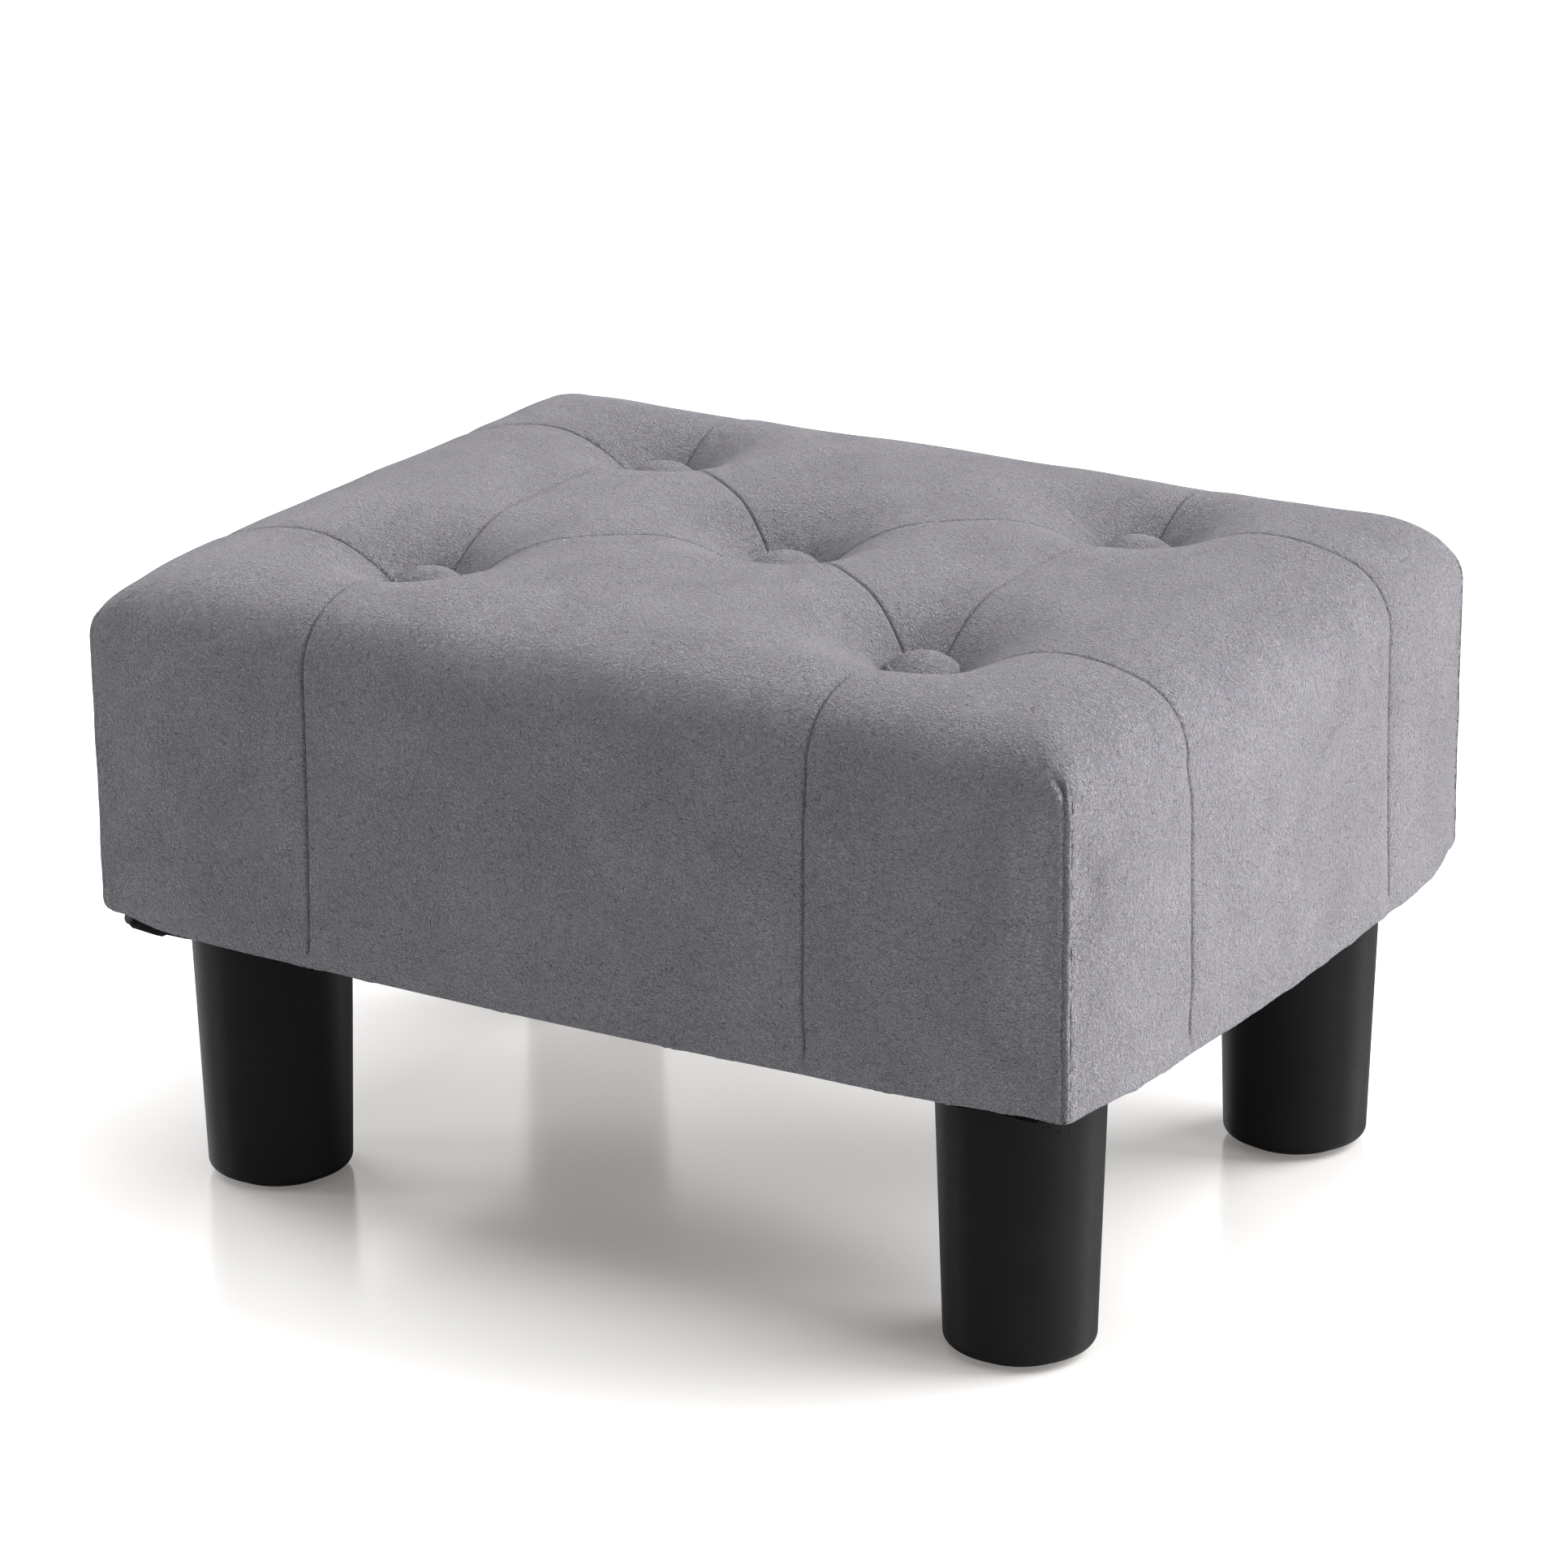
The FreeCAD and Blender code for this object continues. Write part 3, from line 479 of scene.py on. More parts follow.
def corner_ridge(points):
    """The folded seam up each corner: a narrow ridge with a crease on one side of it."""
    x, y, z = points.T
    total = np.zeros(len(points))
    foot = ease((z - SEAT_BOTTOM) / RIDGE_FOOT_FADE)
    end = 1 - ease((z - SHOULDER - RIDGE_END) / RIDGE_END_FADE)
    for number, (sx, sy) in enumerate(CORNERS.values()):
        dx = x - sx * (SEAT_LENGTH / 2 - CORNER_RADIUS)
        dy = y - sy * (SEAT_WIDTH / 2 - CORNER_RADIUS)
        turn = np.arctan2(dy * sy, dx * sx) - math.pi / 4
        wander = RIDGE_WANDER[0] * waves(z, z * 0, RIDGE_WANDER[1], seed=30 + number, count=4)
        ragged = RIDGE_RAGGED[0] * waves(z, z * 0, RIDGE_RAGGED[1], seed=40 + number, count=5)
        along = turn * CORNER_RADIUS * -sx * sy - wander
        close = ((np.hypot(dx, dy) < RIDGE_REACH) & (dx * sx > -CORNER_RADIUS)
                 & (dy * sy > -CORNER_RADIUS))
        ridge = RIDGE_HEIGHT * bell(along, RIDGE_HALF_WIDTH + ragged * RIDGE_EDGE_RAGGED)
        crease = CREASE_DEPTH * bell(along - CREASE_FROM_RIDGE - ragged,
                                     CREASE_HALF_WIDTH + ragged * CREASE_EDGE_RAGGED)
        total += (ridge - crease) * (foot * end) * close
    return total


def corner_pleat(points):
    """The short curved fold where the near corner's seam ends under the rolled edge."""
    x, y, z = points.T
    start, end = np.array(PLEAT_START), np.array(PLEAT_END)
    way = end - start
    share = ((x - start[0]) * way[0] + (z - start[1]) * way[1]) / (way @ way)
    bow = PLEAT_BOW * np.sin(np.clip(share, 0, 1) * math.pi)
    off = ((x - start[0]) * way[1] - (z - start[1]) * way[0]) / np.linalg.norm(way) + bow
    fall = ease((share - PLEAT_FALL_START) / PLEAT_FALL_SHARE)
    along = ease(share / PLEAT_RISE_SHARE) * (1 - fall) * (y < 0)
    hollow = PLEAT_HOLLOW * bell(off - PLEAT_HOLLOW_PLACE, PLEAT_HOLLOW_HALF_WIDTH)
    return along * (PLEAT_DEPTH * bell(off, PLEAT_HALF_WIDTH) - hollow)


def hem_corners(points):
    """The points with the cloth rounded under at three corners and hanging at the near one."""
    x, y, z = points.T
    moved = points.copy()
    rise = np.maximum(z - SEAT_BOTTOM, 0)
    for name, (sx, sy) in CORNERS.items():
        qx = x * sx - (SEAT_LENGTH / 2 - CORNER_RADIUS)
        qy = y * sy - (SEAT_WIDTH / 2 - CORNER_RADIUS)
        if name in HEM_CORNER_ROUND:
            outside = (np.hypot(np.maximum(qx, 0), np.maximum(qy, 0))
                       + np.minimum(np.maximum(qx, qy), 0) - CORNER_RADIUS)
            inward, lift = rounded_under(np.maximum(-outside, 0), rise, HEM_CORNER_ROUND[name])
            nearness = bell(np.hypot(qx, qy), HEM_CORNER_HALF_WIDTH)
            away = np.column_stack([np.maximum(qx, 0) * sx, np.maximum(qy, 0) * sy])
            length = np.maximum(np.linalg.norm(away, axis=1, keepdims=True), TINY)
            moved[:, :2] -= away / length * (inward * nearness)[:, None]
            moved[:, 2] += lift * nearness
        else:
            moved[:, 2] -= TIP_DROP * bell(np.hypot(qx, qy), TIP_HALF_WIDTH) * bell(rise, TIP_HALF_HEIGHT)
    return moved


def rounded_under(depth, rise, radius):
    """How far in and up points move that lie a depth inside the cloth and a rise above the hem."""
    within = (depth < radius) & (rise < radius)
    reach = np.hypot(radius - depth, radius - rise)
    scale = np.where(within & (reach > radius), radius / np.maximum(reach, TINY), 1.0)
    return radius - (radius - depth) * scale - depth, radius - (radius - rise) * scale - rise


def edge_drop(points):
    """How much lower the rolled edge lies along the left end and the back than at the corners there."""
    x, y, _ = points.T
    left = LEFT_EDGE_DROP * bell(x + SEAT_LENGTH / 2, LEFT_EDGE_HALF_WIDTH)
    back = BACK_EDGE_DROP * bell(SEAT_WIDTH / 2 - y, BACK_EDGE_HALF_WIDTH)
    from_corner = np.hypot(np.abs(x) - SEAT_LENGTH / 2 + STIFF_CORNER_INSET,
                           y - SEAT_WIDTH / 2 + STIFF_CORNER_INSET)
    return np.maximum(left, back) * (1 - STIFF_CORNER_SHARE * bell(from_corner, STIFF_CORNER_HALF_WIDTH))


def hem_waver(points, normals):
    """How far the hem's edge wanders up and down, in long and in short waves."""
    x, y, z = points.T
    beside = bell(z - SEAT_BOTTOM, HEM_WAVE_HALF_HEIGHT) * (np.abs(normals[:, 2]) < HEM_UNDERSIDE)
    return beside * (HEM_LONG_WAVE[0] * waves(x + y, x - y, HEM_LONG_WAVE[1], seed=17)
                     + HEM_SHORT_WAVE[0] * waves(x + y, x - y, HEM_SHORT_WAVE[1], seed=18))


def gathers(points, distance, place):
    """Small folds in the cloth that run in to each button."""
    x, y, _ = points.T
    angle = np.arctan2(y - place[:, 1], x - place[:, 0])
    folds = np.cos(angle * GATHER_COUNT + waves(x, y, GATHER_DRIFT_LENGTH, seed=11) * GATHER_DRIFT)
    return GATHER_DEPTH * folds * bell(distance - TUFT_LIP_RADIUS - GATHER_FROM_LIP, GATHER_HALF_WIDTH)


def sewn(points, normals):
    """The plain outside with its tufts, seam valleys, pinched seams and slight unevenness."""
    x, y, z = points.T
    on_top = ease((z - SHOULDER) / (SEAT_TOP - SHOULDER))
    above_hem = ease((z - SEAT_BOTTOM - SEAM_END) / SEAM_END_FADE)
    distance, place = button_distance(points)
    seam = seam_distance(points)
    near_button = bell(distance - TUFT_LIP_RADIUS, VALLEY_GROWTH_HALF_WIDTH) * on_top
    valley = VALLEY_DEPTH * (1 + VALLEY_GROWTH * near_button) * bell(seam, VALLEY_HALF_WIDTH)
    pinch = PINCH_DEPTH * np.exp(-np.abs(seam) / PINCH_HALF_WIDTH)
    wide = (waves(x, y, UNEVEN_LONG, seed=3)
            + waves(y + z, z - x, UNEVEN_SHORT, seed=5) * UNEVEN_SHORT_SHARE)
    inward = (valley + pinch) * above_hem + UNEVEN * wide * above_hem * ease(seam / UNEVEN_FADE)
    inward = inward + corner_pleat(points)
    moved = points - normals * (inward - corner_ridge(points))[:, None]
    from_sag = np.hypot(np.abs(x) - BUTTON_X - CORNER_SAG_FROM_BUTTON,
                        np.abs(y) - BUTTON_Y - CORNER_SAG_FROM_BUTTON)
    sag = (CORNER_SAG * bell(from_sag, CORNER_SAG_HALF_WIDTH) * (y < 0) + edge_drop(points)) * on_top
    dip = WIDE_DIP * bell(distance, WIDE_DIP_HALF_WIDTH) * on_top
    gather = gathers(points, distance, place) * on_top
    moved[:, 2] -= tuft_drop(distance) * (z > SEAT_TOP - TUFTS_FROM) + gather + sag + dip
    moved[:, 2] += hem_waver(points, normals)
    return hem_corners(moved)


def filled(piece, held):
    """A trial cloth's points after pressure has filled it, the held ones pinned."""
    group = piece.vertex_groups.new(name="held")
    group.add([int(k) for k in np.nonzero(held)[0]], 1.0, "REPLACE")
    cloth = piece.modifiers.new("cloth", "CLOTH")
    cloth.settings.quality = SIM_QUALITY
    cloth.settings.tension_stiffness = SIM_STRETCH_STIFFNESS
    cloth.settings.compression_stiffness = SIM_STRETCH_STIFFNESS
    cloth.settings.bending_stiffness = SIM_BENDING_STIFFNESS
    cloth.settings.use_pressure = True
    cloth.settings.uniform_pressure_force = SIM_PRESSURE
    cloth.settings.effector_weights.gravity = 0
    cloth.settings.vertex_group_mass = "held"
    for step in range(1, SIM_FRAMES + 1):
        bpy.context.scene.frame_set(step)
    found = piece.evaluated_get(bpy.context.evaluated_depsgraph_get())
    points = points_of(found.data)
    bpy.data.objects.remove(piece)
    bpy.context.scene.frame_set(1)
    return points


def pillowed(grid):
    """How far each point of the grid rises in a cloth simulation with pressure, held at the seams,
    the buttons and the hem."""
    rows, columns = grid.shape[:2]
    row_pick = np.unique(np.append(np.arange(0, rows, SIM_SHARE), rows - 1))
    column_pick = np.arange(0, columns, SIM_SHARE)
    flat = grid[row_pick][:, column_pick].reshape(-1, 3)
    piece = mesh_piece("pillow_trial", flat, grid_faces(len(row_pick), len(column_pick)), None)
    normals = normals_of(piece.data)
    start = flat - normals * SIM_SLACK
    set_points(piece.data, start)
    distance, _ = button_distance(flat)
    held = ((seam_distance(flat) < HELD_BESIDE_SEAM) | (distance < HELD_ROUND_BUTTON)
            | (flat[:, 2] < SEAT_BOTTOM + HELD_ABOVE_HEM))
    rise = ((filled(piece, held) - start) * normals).sum(axis=1)
    rise = np.clip(rise - SIM_SLACK, PILLOW_SINK, PILLOW_CAP).reshape(len(row_pick), len(column_pick))
    around = np.arange(columns)
    wrapped = np.append(column_pick, columns)
    by_row = np.array([np.interp(around, wrapped, np.append(line, line[0])) for line in rise])
    return np.array([np.interp(np.arange(rows), row_pick, by_row[:, c]) for c in range(columns)]).T


def grid_normals(grid):
    """Outward directions of a closed grid of rings, upright on the flat top."""
    across = np.roll(grid, -1, axis=1) - np.roll(grid, 1, axis=1)
    along = np.gradient(grid, axis=0)
    found = np.cross(across, along)
    length = np.linalg.norm(found, axis=2, keepdims=True)
    up = np.array([0.0, 0.0, 1.0])
    found = np.where(length > NO_LENGTH, found / np.maximum(length, NO_LENGTH), up)
    found[grid[:, :, 2] > SEAT_TOP - FLAT_TOP] = up
    return found


def cut_along_seams(mesh):
    """Add rows of points along each seam, so that it can be pinched finely."""
    bm = bmesh.new()
    bm.from_mesh(mesh)
    bmesh.ops.remove_doubles(bm, verts=bm.verts, dist=MERGE_DISTANCE)
    for a, b in SEAMS:
        a = np.array(a)
        way = np.array(b) - a
        length = np.linalg.norm(way)
        way = way / length
        across = Vector((-way[1], way[0], 0))
        start = Vector((a[0], a[1], 0))
        bm.verts.ensure_lookup_table()
        plan = np.array([v.co.xy for v in bm.verts]) - a
        beside = np.abs(plan @ np.array([-way[1], way[0]])) < SEAM_CUT_REACH
        within = (plan @ way > -SEAM_CUT_REACH) & (plan @ way < length + SEAM_CUT_REACH)
        faces = dict.fromkeys(f for k in np.nonzero(beside & within)[0] for f in bm.verts[k].link_faces)
        edges = dict.fromkeys(e for f in faces for e in f.edges)
        verts = dict.fromkeys(v for f in faces for v in f.verts)
        geom = [*faces, *edges, *verts]
        for off in SEAM_CUTS:
            geom = bmesh.ops.bisect_plane(bm, geom=geom, dist=CUT_TOLERANCE,
                                          plane_co=start + across * off, plane_no=across)["geom"]
    bm.to_mesh(mesh)
    bm.free()
    mesh.update()


def seat_cover(material):
    """The velvet cover, from the hem's inner edge right over the top."""
    grid = seat_grid()
    grid = grid + grid_normals(grid) * pillowed(grid)[:, :, None]
    rows, columns = grid.shape[:2]
    piece = mesh_piece("velvet_cover", grid.reshape(-1, 3), grid_faces(rows, columns), material)
    cut_along_seams(piece.data)
    set_points(piece.data, sewn(points_of(piece.data), normals_of(piece.data)))
    make_smooth(piece.data)
    return piece


# Materials: node maths written as expressions

NOISE_LOW = 0.3
NOISE_HIGH = 0.7


class Sock:
    """A node socket that takes part in ordinary arithmetic with other sockets and numbers."""

    def __init__(self, build, socket):
        self.build = build
        self.socket = socket

    def math(self, operation, other=0):
        """A maths node on this socket, and on another value where the operation takes two."""
        return self.build.node("ShaderNodeMath", {"operation": operation}, {0: self, 1: other}).out(0)

    def __add__(self, other):
        return self.math("ADD", other)

    def __sub__(self, other):
        return self.math("SUBTRACT", other)

    def __mul__(self, other):
        return self.math("MULTIPLY", other)


class Node:
    """One shader node, its outputs as sockets for arithmetic."""

    def __init__(self, build, node):
        self.build = build
        self.node = node

    def out(self, key):
        return Sock(self.build, self.node.outputs[key])


class Build:
    """Makes the nodes of one material."""

    def __init__(self, name):
        self.material = bpy.data.materials.new(name)
        self.material.use_nodes = True
        self.tree = self.material.node_tree
        self.shader = self.tree.nodes["Principled BSDF"]

    def node(self, kind, settings=None, sockets=None):
        """A node of a kind with its settings and its input sockets."""
        made = self.tree.nodes.new(kind)
        for key, value in (settings or {}).items():
            setattr(made, key, value)
        for key, value in (sockets or {}).items():
            self.feed(made.inputs[key], value)
        return Node(self, made)

    def feed(self, socket, value):
        """A link or a plain value into a socket."""
        if isinstance(value, Sock):
            self.tree.links.new(value.socket, socket)
        else:
            socket.default_value = value

    def place(self, stretch=(1, 1, 1)):
        """The piece's own coordinates in metres, scaled along each axis."""
        where = self.node("ShaderNodeTexCoord").out("Object")
        return self.node("ShaderNodeMapping", {}, {"Vector": where, "Scale": stretch}).out(0)

    def noise(self, size, detail=2.0, rough=0.5, distort=0.0, stretch=(1, 1, 1)):
        """Noise between 0 and 1 with features of about a size in metres."""
        return self.node("ShaderNodeTexNoise", {}, {
            "Vector": self.place(stretch), "Scale": 1 / size, "Detail": detail,
            "Roughness": rough, "Distortion": distort}).out("Fac")

    def mix(self, share, a, b):
        """A colour between two colours."""
        return self.node("ShaderNodeMix", {"data_type": "RGBA"}, {0: share, 6: a, 7: b}).out(2)

    def spread(self, value, low, high, to_low=0.0, to_high=1.0):
        """A value's range stretched to another one, held at its ends."""
        return self.node("ShaderNodeMapRange", {}, {
            "Value": value, "From Min": low, "From Max": high,
            "To Min": to_low, "To Max": to_high}).out(0)

    def full(self, noise, to_low=0.0, to_high=1.0):
        """Noise, which mostly lies near its middle, stretched over a whole range."""
        return self.spread(noise, NOISE_LOW, NOISE_HIGH, to_low, to_high)

    def bump(self, height, depth, strength=1.0, over=None):
        """A bumped normal from a height, its full depth in metres."""
        sockets = {"Height": height, "Distance": depth, "Strength": strength}
        if over is not None:
            sockets["Normal"] = over
        return self.node("ShaderNodeBump", {}, sockets).out(0)

    def finish(self, colour, roughness, normal=None, **plain):
        """Connect the shader. Plain values go straight onto its sockets."""
        self.feed(self.shader.inputs["Base Color"], colour)
        self.feed(self.shader.inputs["Roughness"], roughness)
        if normal is not None:
            self.feed(self.shader.inputs["Normal"], normal)
        for key, value in plain.items():
            self.shader.inputs[key.replace("_", " ")].default_value = value
        return self.material


def shade(red, green, blue):
    """A colour from its linear parts."""
    return (red, green, blue, 1.0)


# Velvet: its worm-like clumps of pile, wider tufts and brushed patches
PILE_CLUMP = 1.1 * MM
PILE_CLUMP_HEIGHT = 1.9 * MM
PILE_TUFT = 2.6 * MM
PILE_TUFT_HEIGHT = 1.4 * MM
BRUSHED_PATCH = 38 * MM
VELVET_DARK = shade(0.262, 0.250, 0.280)
VELVET_LIGHT = shade(0.425, 0.408, 0.447)
VELVET_SEAM = shade(0.05, 0.047, 0.052)
VELVET_SHEEN = shade(0.9, 0.88, 0.93)

# The line of stitches beside each corner's seam, and the gaps in it
STITCH_RAGGED = 2.4 * MM
STITCH_RAGGED_SIZE = 1.6 * MM
STITCH_PLACE = 0.3 * MM
STITCH_CORE = 0.15 * MM
STITCH_EDGE = 0.55 * MM
STITCH_GAP_SIZE = 3.5 * MM
STITCH_END = 3 * MM
STITCH_GONE = 9 * MM

# Wave textures repeat once in this length at a scale of one
WAVE_LENGTH = 0.31


def velvet():
    """Grey velvet: short pile in fine worm-like clumps, brushed lighter and darker in patches."""
    b = Build("grey_velvet")
    clumps = b.noise(PILE_CLUMP, rough=0.6, distort=1.3)
    tufts = b.noise(PILE_TUFT, distort=0.6)
    brushed = b.noise(BRUSHED_PATCH, distort=0.8)
    light = b.full(clumps) * 0.25 + b.full(brushed) * 0.4 + tufts * 0.35
    plain = b.mix(light, VELVET_DARK, VELVET_LIGHT)
    cut = corner_line(b)
    colour = b.mix(cut * 0.8, plain, VELVET_SEAM)
    normal = b.bump(tufts, PILE_TUFT_HEIGHT)
    normal = b.bump(b.spread(clumps, 0.25, 0.75) - cut * 1.2, PILE_CLUMP_HEIGHT, over=normal)
    return b.finish(colour, 0.9, normal, Sheen_Weight=0.45, Sheen_Roughness=0.35,
                    Sheen_Tint=VELVET_SHEEN, Specular_IOR_Level=0.1)


def corner_line(b):
    """1 on the ragged line of stitches beside each corner's folded seam, 0 elsewhere."""
    where = b.node("ShaderNodeSeparateXYZ", {}, {0: b.place()})
    across = ((where.out(0).math("ABSOLUTE") - SEAT_LENGTH / 2)
              - (where.out(1).math("ABSOLUTE") - SEAT_WIDTH / 2))
    ragged = b.noise(STITCH_RAGGED_SIZE, rough=0.6) * STITCH_RAGGED
    gap = (across - ragged - STITCH_PLACE).math("ABSOLUTE")
    line = b.spread(gap, STITCH_CORE, STITCH_EDGE, 1.0, 0.0)
    below = b.spread(where.out(2), SHOULDER + STITCH_END, SHOULDER + STITCH_GONE, 1.0, 0.0)
    broken = b.spread(b.noise(STITCH_GAP_SIZE, detail=1.0), 0.4, 0.5)
    return line * below * broken


def black_plastic():
    """Matt black moulded plastic with a fine spark-eroded grain."""
    b = Build("black_plastic")
    grain = b.noise(0.7 * MM, detail=3.0, rough=0.65)
    cloudy = b.noise(30 * MM)
    colour = b.mix(b.full(cloudy), shade(0.0045, 0.0044, 0.0046), shade(0.0072, 0.0070, 0.0070))
    return b.finish(colour, b.full(grain, 0.46, 0.6), b.bump(grain, 0.06 * MM, strength=0.6),
                    Specular_IOR_Level=0.14)


def plain_grain(name, dark, light, roughness, size, depth, stretch=(1, 1, 1), metallic=0.0):
    """A material with two shades in patches or streaks and a bump that follows them."""
    b = Build(name)
    grain = b.noise(size, detail=4.0, rough=0.6, distort=0.4, stretch=stretch)
    share = b.full(grain)
    return b.finish(b.mix(share, dark, light), b.full(grain, roughness, roughness + 0.1),
                    b.bump(share, depth, strength=0.5), Metallic=metallic)


def woven(name, dark, light, thread, depth):
    """Plain woven cloth: crossing threads, a little uneven."""
    b = Build(name)
    uneven = b.noise(8 * MM)
    across, along = (b.node("ShaderNodeTexWave", {"wave_type": "BANDS", "bands_direction": axis},
                            {"Vector": b.place(), "Scale": WAVE_LENGTH / thread,
                             "Distortion": 0.6}).out("Fac") for axis in "XY")
    weave = across * along
    colour = b.mix(weave * 0.6 + uneven * 0.4, dark, light)
    return b.finish(colour, b.spread(weave, 0, 1, 0.75, 0.9), b.bump(weave, depth, strength=0.7),
                    Specular_IOR_Level=0.2)


def floor_material():
    """Glossy white floor: its colour and a painted glow away from the stool keep it white for the camera;
    near the stool the glow is weaker, a painted shade.
    """
    b = Build("white_floor_painted_glow")
    cloudy = b.noise(0.3)
    seen = b.node("ShaderNodeLightPath").out("Is Camera Ray")
    where = b.node("ShaderNodeSeparateXYZ", {}, {0: b.place()})
    over_x = (where.out(0).math("ABSOLUTE") - PAINTED_SHADE_HALF_X).math("MAXIMUM", 0)
    over_y = (where.out(1).math("ABSOLUTE") - PAINTED_SHADE_HALF_Y).math("MAXIMUM", 0)
    away = b.spread((over_x * over_x + over_y * over_y).math("SQRT"), 0, PAINTED_SHADE_FADE)
    # Painted glow seen only by the camera: dim near the stool as painted shade, bright farther off
    glow_near_stool_painted_shade = shade(0.13, 0.121, 0.113)
    far = shade(0.62, 0.615, 0.612)
    b.feed(b.shader.inputs["Emission Color"], b.mix(seen, shade(0, 0, 0), b.mix(away, glow_near_stool_painted_shade, far)))
    grey = b.mix(cloudy, shade(0.39, 0.386, 0.382), shade(0.41, 0.406, 0.402))
    white = b.mix(cloudy, shade(0.88, 0.872, 0.865), shade(0.90, 0.892, 0.885))
    return b.finish(b.mix(seen, grey, white), 0.16, Emission_Strength=1.0, IOR=2.8)


# Buttons

def button_profile(radius, low, high):
    """Radius and height of each ring of a covered button, from the dome's middle to its underside."""
    rise = high - low - BUTTON_RIM
    sphere = (radius ** 2 + rise ** 2) / (2 * rise)
    profile = [(radius * s, high - sphere + math.sqrt(sphere ** 2 - (radius * s) ** 2))
               for s in np.linspace(DOME_START, DOME_SHARE, DOME_RINGS)]
    dome_edge = profile[-1][1]
    rim_top = BUTTON_RIM * RIM_TOP_SHARE
    for turn in np.linspace(BEND_START, 1, BEND_RINGS):
        bend = turn * math.pi / 2
        profile.append((radius * DOME_SHARE + BEND_SHARE * radius * math.sin(bend),
                        dome_edge - (dome_edge - low - rim_top) * (1 - math.cos(bend))))
    for share in np.linspace(RIM_START, 1, RIM_RINGS):
        profile.append((radius * (1 - RIM_NARROWING * share ** 2), low + rim_top * (1 - share)))
    profile.append((radius * UNDERSIDE_SHARE, low))
    return profile


def button_cover(name, material, seed):
    """A cloth-covered button: low dome, soft rim, cloth gathered under it in small pleats."""
    node = "button_cap_" + name
    low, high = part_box(node)
    high = high + Vector((0, 0, BUTTON_PUFF.get(name, 0)))
    centre = middle_of(node)
    angle = np.arange(BUTTON_AROUND) / BUTTON_AROUND * 2 * math.pi
    pick = np.random.default_rng(seed)
    pleats = sum(np.cos(k * angle + pick.uniform(0, 2 * math.pi)) for k in BUTTON_PLEAT_COUNTS) / 3
    rings = []
    for k, (r, z) in enumerate(button_profile((high.x - low.x) / 2, low.z, high.z)):
        edge = ease((k - BUTTON_PLEAT_RING) / BUTTON_PLEAT_FADE)
        reach = r + BUTTON_PLEAT_DEPTH * pleats * edge
        lift = BUTTON_UNEVEN[0] * waves(r * np.cos(angle), r * np.sin(angle), BUTTON_UNEVEN[1], seed)
        rings.append(np.column_stack([centre.x + reach * np.cos(angle), centre.y + reach * np.sin(angle),
                                      z + lift * (1 - edge)]))
    points = np.vstack(rings[::-1])
    piece = mesh_piece("covered_button_" + name, points, grid_faces(len(rings), BUTTON_AROUND), material)
    bm = bmesh.new()
    bm.from_mesh(piece.data)
    bmesh.ops.holes_fill(bm, edges=[e for e in bm.edges if e.is_boundary], sides=0)
    bmesh.ops.recalc_face_normals(bm, faces=bm.faces)
    bm.to_mesh(piece.data)
    bm.free()
    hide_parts(node)
    return piece


# The black cloth under the seat

def dust_sheet(material):
    """Black cloth stapled under the frame, its edge puckered and hanging just below the hem."""
    half = np.array([DUST_WIDTH / 2, DUST_DEPTH / 2])
    counts = (2 * half / DUST_STEP).astype(int)
    xs = np.linspace(-half[0], half[0], counts[0])
    ys = np.linspace(-half[1], half[1], counts[1])
    gx, gy = (g.ravel() for g in np.meshgrid(xs, ys))
    near_edge = bell(np.minimum(half[0] - np.abs(gx), half[1] - np.abs(gy)), DUST_EDGE_HALF_WIDTH)
    pucker = 1 + DUST_PUCKER * waves(gx + gy, gx - gy, DUST_PUCKER_LENGTH, seed=61)
    flap = (ease((FLAP_HALF_WIDTH - np.abs(gx + half[0] - FLAP_PLACE)) / FLAP_SOFTNESS)
            * (gy < FLAP_DEPTH - half[1]))
    _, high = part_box("dust_cover")
    top = high.z - DUST_BELOW_FRAME - near_edge * (DUST_EDGE_SAG * pucker) - flap * FLAP_DROP
    cx = np.maximum(np.abs(gx) - (half[0] - DUST_CORNER_ROUND), 0)
    cy = np.maximum(np.abs(gy) - (half[1] - DUST_CORNER_ROUND), 0)
    reach = np.maximum(np.hypot(cx, cy), TINY)
    scale = np.where((cx > 0) & (cy > 0), np.maximum(cx, cy) / reach, 1.0)
    gx = np.sign(gx) * (np.abs(gx) - cx * (1 - scale))
    gy = np.sign(gy) * (np.abs(gy) - cy * (1 - scale))
    points = np.column_stack([gx, gy, top])
    bolts = [middle_of("leg_bolt_" + name).xy for name in CORNERS]
    kept = []
    for face in grid_faces(counts[1], counts[0], closed=False):
        middle = points[list(face)][:, :2].mean(axis=0)
        if all(np.hypot(*(middle - bolt)) > BOLT_ROOM for bolt in bolts):
            kept.append(face)
    piece = mesh_piece("dust_cover_cloth", points, kept, material)
    thick = piece.modifiers.new("thick", "SOLIDIFY")
    thick.thickness = DUST_THICKNESS
    thick.offset = -1
    return piece


